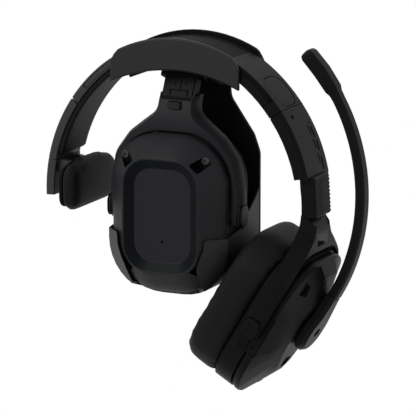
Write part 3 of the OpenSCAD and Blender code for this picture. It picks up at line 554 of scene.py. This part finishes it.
# ==== Worn cup's shell ====
# A faceted moulding in the darker copy of the paint, which is painted shade: a rounded rim, and twelve
# facets that rise to a small plateau under the boom's pivot. A notch and a crease are let in near the
# top, with two slots, a screw well below the boom and the opening of the charging port.
facet_ridge = [[9, 15.4, 39.8], [25, 12.6, 30.5], [30, 13.6, 12], [27.5, 15, -12], [20.5, 14.2, -31],
               [8, 12.8, -42.5]]
plateau = [[6, 18.9, 26], [13.5, 18.9, 19.5], [16.5, 18.9, 6], [15, 18.9, -12], [9.5, 18.8, -25],
           [4, 18.3, -31]]


def by_angle(path, angles):
    """Points of a closed path of (x, o, u) at the angles about the cup's axis: the path is cut into
    short straight steps, and each angle takes the step that its ray crosses."""
    dense = along(np.array(path, float), np.linspace(0, 1, 4000), closed=True)
    a = np.arctan2(dense[:, 2], dense[:, 0])
    order = np.argsort(a)
    a, dense = a[order], dense[order]
    return np.column_stack([np.interp(angles, a, dense[:, k], period=2 * np.pi) for k in range(3)])


def both_sides(half):
    """A half ring of (x, o, u), top to bottom on the right, closed by its mirror image in x."""
    right = np.array(half, float)[::-1]
    return np.vstack((right, right[::-1] * (-1, 1, 1)))


corner_angles = np.array([math.atan2(u, s * x) for ring in (facet_ridge, plateau) for x, o, u in ring
                          for s in (-1, 1)])
shell_angles = np.unique(np.concatenate((np.linspace(-math.pi, math.pi, 97)[:-1], corner_angles)))
worn_centre = (0, -1.8)
# width, height, corner radius and depth of the rim's rings, from the back edge to the first facet
worn_rings = [(66, 86, 21, 4.6), (72.6, 93.4, 24.2, 3.5), (75.2, 96, 25.5, 6.2), (75.4, 96.2, 25.6, 8.2),
              (74.2, 95, 25, 9.4)]
rim = [by_angle(at_depth(rounded_box(w, h, r, worn_centre, 16), o), shell_angles)
       for w, h, r, o in worn_rings]
facet_top = by_angle(both_sides(facet_ridge), shell_angles)
flat_top = by_angle(both_sides(plateau), shell_angles)
worn_shell = surface("right_cup_shell", worn(np.stack([*rim, facet_top, facet_top * 0.4 + flat_top * 0.6,
                                                       flat_top])))
tab = [prism(worn, rounded_box(6.4, 27.8, 1.5, (s * 36.6, -3.5)), 2, 9.7) for s in (-1, 1)]
notch = prism(worn, rounded_path([[-29, 29.5, 1], [-21.5, 28, 1], [-20, 34.5, 1], [-25.5, 38, 1]], 4),
              10.8, 30)
well = prism(worn, rounded_box(8.4, 7.2, 1.6, (1.5, -24.5)), 15.2, 30)
crease = prism(worn, rounded_path([[-7.4, 37.5, 0.4], [-5.6, 38.6, 0.4], [-1.2, 22, 0.4],
                                   [-2.4, 21.4, 0.4]], 3), 15.6, 30)
slots = [prism(worn, rounded_box(2.2, 4.6, 0.9, (-6.5, u), 4), 16.2, 30) for u in (5.5, -1.5)]
port_opening = box_in(worn, (11, 6, 12), (0, 10.5, -45.2), 32)
cut(worn_shell, *tab, notch, crease, *slots, well, port_opening)
dress(worn_shell, shaded_grey, ["right_shell"], edge=0.25, angle=14)

# ==== Boom ====
# A painted nylon arm on a paddle that turns on the cup, a rectangle with faceted edges in section. At
# rest it stands up beside the band and curves in towards it, and a faceted microphone head is pushed
# on to its end.
bend_radius, boom_o, boom_u = 118.5, 23.6, 31.4


def boom_ring(a, section):
    """A section of (across, through) in mm at the angle a in degrees of the boom's bend."""
    a = math.radians(a)
    r = bend_radius + section[:, 1]
    return np.column_stack((-section[:, 0], boom_o - bend_radius + r * math.cos(a), boom_u + r * math.sin(a)))


def bar(w, t, r):
    """Rectangle section w wide and t thick, whose four corners are cut to facets: the flat of the wide
    side is 0.6 of the width, and that of the narrow side 0.72 of the thickness."""
    return rounded_path([[w / 2, -t * 0.36, r], [w / 2, t * 0.36, r], [w * 0.3, t / 2, r],
                         [-w * 0.3, t / 2, r], [-w / 2, t * 0.36, r], [-w / 2, -t * 0.36, r],
                         [-w * 0.3, -t / 2, r], [w * 0.3, -t / 2, r]], 3)


# the boom's arm and head take the darker copy of the paint, as painted shade
arm = surface("boom_arm_bar", worn(np.stack([boom_ring(-0.3 + 61.2 * f, bar(12 - 2.6 * f, 6.4 - 0.4 * f, 0.7))
                                             for f in np.linspace(0, 1, 40)])))
dress(arm, shaded_grey, ["boom_arm"], edge=0, angle=34)
# angle on the bend, width and thickness of each section of the microphone head
head_rows = [(60.75, 9.0, 5.8), (60.95, 9.4, 6.2), (62.6, 9.6, 6.4), (64.0, 12.0, 8.2), (70, 12.4, 8.8),
             (76.0, 12.2, 8.6), (76.9, 10.6, 7.0), (77.2, 8.6, 5.0)]
head = surface("mic_head_bar", worn(np.stack([boom_ring(a, bar(w, t, 0.45)) for a, w, t in head_rows])))
dress(head, shaded_grey, ["mic_head"], edge=0.15, angle=24)

# ==== Cushions ====
# Ear cushions of slow foam in protein leatherette: one panel is drawn over the outside and the face,
# and sewn at the ear opening to the panel of its wall. The outside draws in at the housing.
def leather(name, colour, second, grain=1.3):
    """Leatherette: pebbles of `grain` mm parted by fine creases, which the eye reads as a soft
    sheen broken into dots. A real pebble of 0.6 mm is drawn coarser so that it shows."""
    material, tree = blank_material(name)
    place = add(tree, "ShaderNodeTexCoord").outputs["Object"]
    sway = add(tree, "ShaderNodeTexNoise", {"Vector": place, "Scale": 260.0, "Detail": 2.0})
    moved = add(tree, "ShaderNodeVectorMath", {0: sway.outputs["Color"], 1: (0.0008, 0.0008, 0.0008),
                                               2: place}, operation="MULTIPLY_ADD")
    cells = add(tree, "ShaderNodeTexVoronoi", {"Vector": moved.outputs[0], "Scale": 1000 / grain},
                feature="DISTANCE_TO_EDGE")
    crease = add(tree, "ShaderNodeMapRange", {"Value": cells.outputs["Distance"], 1: 0.0, 2: 0.25, 3: 0.0,
                                              4: 1.0})
    drift = add(tree, "ShaderNodeTexNoise", {"Vector": place, "Scale": 55.0, "Detail": 3.0})
    shade = add(tree, "ShaderNodeMix", {0: drift.outputs["Fac"], 6: linear(colour), 7: linear(second)},
                data_type="RGBA")
    slack = add(tree, "ShaderNodeBump", {"Height": drift.outputs["Fac"], "Distance": 0.8 * MM,
                                         "Strength": 0.35})
    bump = add(tree, "ShaderNodeBump", {"Height": crease.outputs[0], "Distance": 0.05 * MM, "Strength": 0.5,
                                        "Normal": slack.outputs[0]})
    rough = add(tree, "ShaderNodeMapRange", {"Value": crease.outputs[0], 3: 0.66, 4: 0.52})
    shader = add(tree, "ShaderNodeBsdfPrincipled", {
        "Base Color": shade.outputs[2], "Roughness": rough.outputs[0], "Normal": bump.outputs[0],
        "IOR": 1.5, "Specular IOR Level": 0.1, "Sheen Weight": 0.02, "Sheen Roughness": 0.5})
    add(tree, "ShaderNodeOutputMaterial", {"Surface": shader.outputs[0]})
    return material


leatherette = leather("protein_leatherette", "#0b0b0c", "#121214")


def puff(piece, cap, voxel=4.0, pressure=4.0, frames=20):
    """Cloth pressure rounds a stuffed piece: it is remeshed at `voxel` mm, blown up over the frames
    without gravity, no point moves further than `cap` mm, and one subdivision smooths it."""
    even = piece.modifiers.new("even", "REMESH")
    even.mode, even.voxel_size = "VOXEL", voxel * MM
    mesh = apply_modifiers(piece)
    count = len(mesh.vertices)
    before, after = np.empty(count * 3), np.empty(count * 3)
    mesh.vertices.foreach_get("co", before)
    cloth = piece.modifiers.new("cloth", "CLOTH")
    cloth.settings.use_pressure = True
    cloth.settings.uniform_pressure_force = pressure
    cloth.settings.quality = 5
    cloth.settings.effector_weights.gravity = 0
    cloth.point_cache.frame_start, cloth.point_cache.frame_end = 1, frames
    for step in range(1, frames + 1):
        bpy.context.scene.frame_set(step)
    graph = bpy.context.evaluated_depsgraph_get()
    piece.evaluated_get(graph).data.vertices.foreach_get("co", after)
    piece.modifiers.clear()
    bpy.context.scene.frame_set(1)
    move = (after - before).reshape(-1, 3)
    far = np.linalg.norm(move, axis=1, keepdims=True)
    move *= np.minimum(1, cap * MM / np.maximum(far, 1e-9))
    mesh.vertices.foreach_set("co", before + move.ravel())
    mesh.update()
    finer = piece.modifiers.new("finer", "SUBSURF")
    finer.levels = finer.render_levels = 1
    apply_modifiers(piece)


def soft(piece, node):
    """Gives a padded piece its leatherette and smooth shading; it rides with its node, which is hidden."""
    piece.data.materials.clear()
    piece.data.materials.append(leatherette)
    piece.data.shade_smooth()
    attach(piece, parts[node]["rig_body"])
    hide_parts(node)


def laid_on(piece, node, slot, *materials):
    """A piece that only the scene has takes its materials and rides with the node it lies on."""
    piece.data.materials.clear()
    for material in materials:
        piece.data.materials.append(material)
    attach(piece, parts[node]["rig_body"])


seat_o, stations, welt_radius = -8.6, 96, 0.45
# the section from the outside over the face to the ear opening: shares of half the ring's width, from
# its middle outwards, and of its thickness, from the housing
cushion_section = np.array([
    [0.93, 0.01], [0.985, 0.06], [0.995, 0.16], [1.0, 0.34], [1.0, 0.52], [0.99, 0.66], [0.955, 0.78],
    [0.88, 0.88], [0.76, 0.95], [0.56, 0.985], [0.3, 0.995], [-0.05, 0.99], [-0.42, 0.96], [-0.74, 0.88],
    [-0.93, 0.74], [-0.985, 0.52], [-0.98, 0.28], [-0.94, 0.08], [-0.85, 0.01], [0, 0.01]])


def ear_cushion(name, node, place, width, height, radius, thickness, lift):
    """A closed ring: the section is carried round between the cushion's outline and the ear opening's.
    A fine tube follows it as the sewn welt, 0.9 of half the ring's width in from its middle and at 0.78
    of its thickness from the housing."""
    t = np.linspace(0, 1, stations + 1)[:-1]
    outer = along(rounded_box(width - 0.2, height - 0.2, radius - 0.1, (0, lift), 12), t, True)
    inner = along(rounded_box(45, 63, 21, (0, lift), 12), t, True)
    middle, half = (outer + inner) / 2, (outer - inner) / 2
    flat = middle[:, None] + cushion_section[None, :, :1] * half[:, None]
    depth = np.broadcast_to(seat_o - cushion_section[:, 1] * thickness, flat.shape[:2])
    ring = surface(name, place(np.stack((flat[..., 0], depth, flat[..., 1]), -1)), closed=(True, True),
                   caps=False)
    puff(ring, 1.2)
    soft(ring, node)
    turn = np.linspace(0, 2 * np.pi, 9)[:-1]
    out = (outer - inner) / np.linalg.norm(outer - inner, axis=1)[:, None]
    swell = 0.15 + welt_radius * np.cos(turn)
    line = middle - half * 0.9
    depth = np.broadcast_to(seat_o - 0.78 * thickness + welt_radius * np.sin(turn), (stations, len(turn)))
    welt = surface(name + "_welt", place(np.stack((line[:, :1] + out[:, :1] * swell, depth,
                                                   line[:, 1:] + out[:, 1:] * swell), -1)),
                   closed=(True, True), caps=False)
    welt.data.shade_smooth()
    laid_on(welt, node, "leather", leatherette)


ear_cushion("right_ear_cushion", "right_cushion", worn, 75.2, 96, 25.5, 24.8, worn_centre[1])
ear_cushion("second_ear_cushion", "second_cushion", stowed, 74.6, 96.5, 31, 18.6, 0)


# ==== Band padding ====
# A crowned crown pad under the sprung steel strip, and slimmer liners inside the side bands, all
# in the same leatherette over foam, glued along their backs.
band_y, end_taper, channel_width = -20.5, 2.6, 1.1


def arc_pad(name, node, centre, r_in, r_out, width, low, high, sag, mirror=False, channels=0, cap=0.0):
    """A rounded section carried round an arc in the plane of the band, from low to high degrees: its
    thickness grows by `sag` towards the middle of its width, shrinks over the taper at each end, and
    dips by 1 mm at each of the channels, which part it evenly."""
    span = math.radians(high - low)
    t = np.unique(np.concatenate((np.linspace(0, 1, 61), [0.004, 0.012, 0.988, 0.996])))
    angle = math.radians(low) + span * t
    near_end = np.minimum(t, 1 - t) * span * r_in
    end = np.sqrt(np.clip(1 - np.clip(1 - near_end / end_taper, 0, 1) ** 2, 0.05, 1))
    section = rounded_box(r_out - r_in, width, min(1.5, (r_out - r_in) * 0.42), (0, 0), 4)
    section = along(section, np.linspace(0, 1, 41)[:-1], True)
    radial, y = section[:, 0], section[:, 1]
    inner_side = radial < 0
    crown = sag * (1 - (2 * y / width) ** 2) * inner_side
    dip = sum((np.exp(-((t - (k + 1) / (channels + 1)) * span * r_in / channel_width) ** 2)
               for k in range(channels)), np.zeros_like(t))
    back = (r_out + r_in) / 2 + radial[None] * end[:, None] + (1 - end[:, None]) * (r_out - r_in) * 0.3
    radius = back - crown[None] * end[:, None] + dip[:, None] * inner_side[None]
    across = y[None] * (0.6 + 0.4 * end[:, None])
    grid = np.stack((centre[0] + radius * np.cos(angle)[:, None], band_y + across,
                     centre[1] + radius * np.sin(angle)[:, None]), -1)
    if mirror:
        grid[..., 0] *= -1
    piece = surface(name, grid)
    if cap:
        puff(piece, cap, voxel=2.6)
    soft(piece, node)


crown_centre, side_centre = (0, 23.5), (-13.53, 6.791)
arc_pad("crown_cushion", "crown_pad", crown_centre, 70.2, 74.6, 29.6, 55.6, 124.4, 0.6, channels=4, cap=0.8)
for hand, mirror in (("right", False), ("left", True)):
    arc_pad(hand + "_band_liner", hand + "_liner", side_centre, 93.8, 96.9, 32.4, 13.2, 54.2, 0.3, mirror)


# ==== Temple pad ====
# A block of foam in leatherette on a moulded carrier: it rests against the temple, so its face is
# softly crowned and its long edges are turned over.
carrier_x, pad_z = -72.72, 8.39
temple_outline = rounded_path([[31, -12, 9], [31, 15, 9], [12, 19, 14], [-12, 19, 14], [-31, 15, 9],
                               [-31, -12, 9]], 6)
temple_outline = along(temple_outline, np.linspace(0, 1, 73)[:-1], closed=True)
# distance from the carrier's outer face and inset of each ring, from the pad's back to its face
temple_rings = [(2.3, 3.0), (2.3, 1.4), (3.0, 0.5), (4.5, 0.1), (7.0, 0.1), (9.0, 0.9), (10.4, 2.4),
                (11.2, 4.6), (11.6, 8.0)]
temple_layers = []
for lift, inset in temple_rings:
    p = drawn_in(temple_outline, inset)
    temple_layers.append(np.column_stack((np.full(len(p), carrier_x + lift), headset_y + p[:, 0],
                                          pad_z + p[:, 1])))
temple = surface("temple_cushion", np.stack(temple_layers))
puff(temple, 0.6, voxel=3.0)
soft(temple, "temple_pad")

# ==== Right slide ====
# A moulded grip in the darker copy of the paint, as painted shade, fixed on the blade below the band.
# A panel of thermoplastic rubber with chevron ribs is let into its outer face, and the ribs' crests are
# painted in the lighter grey as painted highlight.
rubber = moulded("tpe_rubber", "#0c0c0d", "#101011", 0.75, 0.35)
lean = math.radians(3.5)
down = np.array([math.sin(lean), -math.cos(lean)])
outwards = np.array([math.cos(lean), math.sin(lean)])
grip_top = np.array([84.93, 24.93])


def grip_point(out, y, drop):
    """A point `out` mm outwards, y back and `drop` down from the middle of the grip's top."""
    xz = grip_top + np.multiply.outer(drop, down) + np.multiply.outer(out, outwards)
    return np.stack((xz[..., 0], headset_y + y, xz[..., 1]), -1)


grip_section = rounded_box(10, 24, 2.2, (0, 0), 4)
grip_rings = []
# inset and drop of each ring: the top two slope with the band's end
for inset, drop in ((0.9, -0.75), (0.0, -0.35), (0.0, 4), (0.25, 9), (0.25, 14), (0.0, 19), (0.0, 21.9),
                    (0.9, 22.2)):
    ring = drawn_in(grip_section, inset)
    sloped = drop - (drop < 1) * (1.4 + 0.1 * grip_section[:, 0])
    grip_rings.append(grip_point(ring[:, 0], ring[:, 1], sloped))
grip = surface("right_grip_body", np.stack(grip_rings))
dress(grip, shaded_grey, ["right_grip"], edge=0, angle=30)
rib_top, rib_end, rib_half, rib_pitch, rib_height = 1.2, 21.4, 10.6, 2.4, 0.8
drop, y = np.meshgrid(np.linspace(-rib_top, rib_end, 92), np.linspace(-rib_half, rib_half, 86), indexing="ij")
# a triangle wave along the distance down less the distance sideways, which fades out over the last 0.4 mm
ridge = np.abs((drop - np.abs(y + 1)) / rib_pitch % 1 - 0.5) * 2
fade = np.clip(np.minimum(np.minimum(drop + rib_top, rib_end - drop), rib_half - np.abs(y)) / 0.4, 0, 1)
knurl = surface("right_grip_knurl", grip_point(4.8 + fade * (0.1 + rib_height * ridge), y, drop),
                closed=(False, False), caps=False)
laid_on(knurl, "right_grip", "black", rubber, lit_grey)
# the crests' faces take the lighter grey as painted highlight, and the rest keeps the rubber
crest = ridge * fade
level = (crest[:-1, :-1] + crest[1:, :-1] + crest[:-1, 1:] + crest[1:, 1:]) / 4
knurl.data.polygons.foreach_set("material_index", (level > 0.55).astype(np.int32).ravel())
knurl.data.shade_flat()

# ==== Stem of the stowed cup ====
# A flat moulded tongue, on which the yoke slides to size: its face carries a centre line, a latch
# slot and two arrow marks; its end plugs into the connector under the crown.
stem_lean, stem_o, stem_u = 26, -3.7, 69.5


def on_stem(x, out, far):
    """A point of the stem, in the row frame: x across, `out` mm off its middle plane and `far` mm up
    along its lean."""
    c, s = math.cos(math.radians(stem_lean)), math.sin(math.radians(stem_lean))
    x, out, far = np.broadcast_arrays(x, out, far)
    return stowed(np.stack((x, stem_o + out * c - far * s, stem_u + out * s + far * c), -1))


def stem_block(outline, out0, out1):
    """An outline in (x, far) pushed out from out0 to out1."""
    outline = np.array(outline, float)
    return surface("block", np.stack([on_stem(outline[:, 0], o, outline[:, 1]) for o in (out0, out1)]))


stem = stem_block(rounded_box(22, 19.5, 0.6, (0, 1.75), 3), -2.5, 2.5)
tongue = stem_block(rounded_box(19.6, 5.6, 0.6, (0, 13.0), 3), -1.8, 1.8)
cut(stem, tongue, operation="UNION")
arrow = np.array([[0.9, 1.6], [-1.0, 0], [0.9, -1.6], [0.9, -0.7], [0.2, 0], [0.9, 0.7]])
# width, length, corner radius, centre and floor of each groove: centre line, latch slot with its two
# short legs, edge line
grooves = [(0.6, 7.6, 0.2, (0.4, 7.0), 1.7), (12.4, 1.1, 0.3, (0, 2.6), 1.5),
           (0.8, 3.6, 0.3, (-5.8, 1.2), 1.5), (0.8, 3.6, 0.3, (5.8, 1.2), 1.5),
           (0.7, 12, 0.3, (9.2, 5), 1.7)]
groove_knives = [stem_block(rounded_box(w, h, r, centre, 2), floor, 4) for w, h, r, centre, floor in grooves]
arrow_knives = [stem_block(arrow + (x, 7.2), 1.8, 4) for x in (-3.4, 3.8)]
cut(stem, *groove_knives, *arrow_knives)
stem.name = "second_stem_tongue"
# the tongue takes the darker copy of the paint, as painted shade
dress(stem, shaded_grey, ["second_stem"], edge=0.12, angle=30)

# ==== Marks on the right band ====
# The size scale is pad-printed in black on the painted band, and the parting seam's gap is painted as a
# black line of painted shade. Both are drawn as fine black inlays that stand less than 0.2 mm out of the
# band's outer face.
def inlay(name, low, high, section):
    """A closed section of (r, y) in mm carried round the side arc from low to high degrees."""
    a = np.radians(np.linspace(low, high, 6))[:, None]
    r, y = np.asarray(section, float).T
    return surface(name, np.stack((side_centre[0] + r * np.cos(a), np.broadcast_to(y, (len(a), len(y))),
                                   side_centre[1] + r * np.sin(a)), -1))


# black ink for the printed scale, which also paints shade in the seam, the groove and the gaps round the caps
# and the button
ink_and_shade = moulded("pad_printed_ink_and_painted_shade", "#020202", "#040404", 0.8, 0.2, specular=0.02)
mark_radius = 102.36
# from and to in degrees, width and middle in y: four strokes of the scale and one mark beside them
strokes = [(28.7, 29.3, 1.3, -10), (23.7, 27.7, 1.3, -10.5), (19.2, 22.6, 1.3, -10.3),
           (12.7, 17.0, 1.3, -10.8), (32.2, 33.5, 2.4, -27)]
marks = [inlay("mark", low, high, rounded_box(0.6, wide, 0.2, (mark_radius, y), 2))
         for low, high, wide, y in strokes]
marks.append(inlay("seam", 36.0, 36.25, rounded_box(5.56, 33.1, 1.0, (99.78, band_y), 3)))
scale = marks[0]
for other in marks[1:]:
    cut(scale, other, operation="UNION")
scale.name = "right_band_marks"
laid_on(scale, "right_band", "black", ink_and_shade)

# ==== Charging port ====
# A drawn steel sleeve, pressed into the opening in the worn cup's lower edge and sunk a little below
# the shell.
port_cos, port_sin = 0.848, 0.53


def port_ring(width, height, z):
    """A ring across the port's axis, which leans 32 degrees, the angle of port_cos and port_sin: z runs
    into the cup."""
    p = rounded_box(width, height, height / 2 - 0.05, (0, 0), 6)
    o = 10.5 - port_cos * p[:, 1] - port_sin * z
    return np.column_stack((p[:, 0], o, -45.15 - port_sin * p[:, 1] + port_cos * z))


port = surface("charging_port", worn(np.stack([port_ring(9, 3.4, 5.5), port_ring(9, 3.4, -0.4),
                                               port_ring(8, 2.4, -0.4), port_ring(8, 2.4, 4.6)])))
dress(port, dark_steel, ["charge_port"], edge=0.1, angle=35)

# ==== Front panel of the right band ====
# A slim painted moulding clipped over the front edges of band and liner, in two lengths that meet
# at the band's parting seam.
panel = inlay("right_band_panel", 11.9, 35.95, rounded_box(6.7, 0.9, 0.3, (97.25, -37.0), 3))
upper_panel = inlay("upper_panel", 36.3, 54.6, rounded_box(6.7, 0.8, 0.25, (97.25, -36.85), 3))
cut(panel, upper_panel, operation="UNION")
# the panel takes the darker copy of the paint, as painted shade
laid_on(panel, "right_band", "charcoal", shaded_grey)
# the inset above the seam is outlined by a fine groove, whose shade is painted as a thin black line laid on
# the face
edge_line = inlay("right_band_inset", 41.3, 54.5, rounded_box(0.4, 0.2, 0.08, (99.5, -37.22), 2))
end_line = inlay("end_line", 41.05, 41.3, rounded_box(5.6, 0.2, 0.08, (96.9, -37.22), 2))
cut(edge_line, end_line, operation="UNION")
laid_on(edge_line, "right_band", "black", ink_and_shade)

# ==== Noise button and its lamp ====
# A small rocker-faced button in the tab of the worn cup's housing: a raised frame round a shallow
# dish. The lamp beside it is a pinhole window, which is dark when it is off.
button_centre = (-0.4, -13)
button_outline = rounded_box(5.6, 6.8, 1.2, button_centre, 3)
noise_button = side_stack("noise_button_cap", worn, [(drawn_in(button_outline, inset), -x) for inset, x in (
    (0, 35.2), (0, 37.9), (0.3, 38.15), (0.8, 38.15), (1.1, 37.75))])
# the button takes the darker copy of the paint, as painted shade
dress(noise_button, shaded_grey, ["noise_button"], edge=0, angle=35)
gap_outline = rounded_box(6.3, 7.5, 1.5, button_centre, 3)
lamp_outline = rounded_box(1.3, 1.3, 0.6, (5.9, -12.6), 4)
# the gap round the button is a black plate of painted shade; the lamp's pinhole window is dark of its own
for name, outline, face in (("noise_button_gap", gap_outline, 37.66), ("noise_lamp", lamp_outline, 37.72)):
    laid_on(side_stack(name, worn, [(outline, -37.3), (outline, -face)]), "right_housing", "black", ink_and_shade)

# ==== Gap round the pivot caps ====
# The moulded caps stand in a recess of the fork's outer face, whose shade is painted as a dark line.
for name, node, place in (("right", "right_yoke", worn), ("second", "second_yoke", stowed)):
    for s in (-1, 1):
        gap = side_stack(name + "_cap_gap", place, [(cap_outline(0.4), s * x) for x in (44.0, 44.7)])
        laid_on(gap, node, "black", ink_and_shade)

# ==== Headband, slides and housings ====
# Injection-moulded covers, trims and shoulders in painted polycarbonate, clipped over the sprung
# strip; the ends and housings are screwed together from behind. Their edges are softened.
# the crown and the right side take the darker copy of the paint as painted shade, the left side the lighter
# copy as painted light
for node, material in {"crown_cover": shaded_grey, "left_shoulder": lit_grey, "right_shoulder": shaded_grey,
                       "left_trim": lit_grey, "right_trim": shaded_grey, "left_band": lit_grey,
                       "right_band": shaded_grey, "control_cover": shaded_grey, "left_end": lit_grey,
                       "right_housing": shaded_grey, "boom_paddle": shaded_grey,
                       "second_housing": shell_grey}.items():
    skin_of(node, material, join=not node.startswith("left"))

# ==== Inlay, carrier and release button ====
# Small mouldings: the crown's inlay and the temple pad's carrier take the near-black copy of the nylon,
# as painted shade, and the release button has the paint of the yoke that it sits in.
for node, material in {"crown_inlay": shaded_nylon_black, "temple_carrier": shaded_nylon_black,
                       "release_button": shell_grey}.items():
    skin_of(node, material)

# ==== Saddle liner ====
# A thin sheet of thermoplastic rubber, die-cut and glued to the hanger's saddle. The headband's
# crown rests on it.
skin_of("saddle_liner", rubber)

# ==== Screws, pins, strip and blade ====
# Bought-in hardware: zinc-plated screws, pins and blade, a spring strip and temple pin in black
# oxide, and the drivers' cans. They stay the CAD's own solids.
bright_steel = steel("zinc_plated_steel", "#8f9194", 0.35)


def finish_cad(materials):
    """CAD solids that stay as they are take their materials."""
    for node, material in materials.items():
        parts[node].data.materials.clear()
        parts[node].data.materials.append(material)


finish_cad({"hanger_screws": bright_steel, "crown_spring": dark_steel, "temple_pin": dark_steel,
            "right_blade": bright_steel, "right_yoke_pins": bright_steel, "second_yoke_pins": bright_steel,
            "boom_pin": bright_steel, "right_driver": dark_steel, "second_driver": dark_steel})

# ==== Works inside the cups ====
# ABS baffles that carry the drivers, woven acoustic cloth over the ear opening, the lacquered
# circuit board, a foil-wrapped cell and the capsule in the microphone head.
def weave(name, colour, second):
    """Plain weave of 0.5 mm threads: two crossed waves, which read as a fine matt check."""
    material, tree = blank_material(name)
    place = add(tree, "ShaderNodeTexCoord").outputs["Object"]
    warp = add(tree, "ShaderNodeTexWave", {"Vector": place, "Scale": 320.0}, bands_direction="X")
    weft = add(tree, "ShaderNodeTexWave", {"Vector": place, "Scale": 320.0}, bands_direction="Z")
    cross = add(tree, "ShaderNodeMath", {0: warp.outputs["Fac"], 1: weft.outputs["Fac"]},
                operation="MULTIPLY")
    shade = add(tree, "ShaderNodeMix", {0: cross.outputs[0], 6: linear(colour), 7: linear(second)},
                data_type="RGBA")
    bump = add(tree, "ShaderNodeBump", {"Height": cross.outputs[0], "Distance": 0.1 * MM, "Strength": 0.6})
    shader = add(tree, "ShaderNodeBsdfPrincipled", {
        "Base Color": shade.outputs[2], "Roughness": 0.9, "Normal": bump.outputs[0],
        "Specular IOR Level": 0.2})
    add(tree, "ShaderNodeOutputMaterial", {"Surface": shader.outputs[0]})
    return material


acoustic_cloth = weave("acoustic_cloth", "#0a0a0a", "#1b1b1c")
trim_black = moulded("matt_abs_charcoal", "#141415", "#18181a", 0.45, 0.4, specular=0.08)
solder_mask = moulded("green_solder_mask", "#0b3a22", "#0e4a2b", 0.3, 0.8, specular=0.5)
cell_wrap = moulded("foil_cell_wrap", "#5b5d60", "#6a6c70", 0.38, 0.6, specular=0.5)
finish_cad({"right_baffle": trim_black, "second_baffle": trim_black, "right_grille": acoustic_cloth,
            "second_grille": acoustic_cloth, "right_board": solder_mask, "right_battery": cell_wrap,
            "mic_capsule": dark_steel})
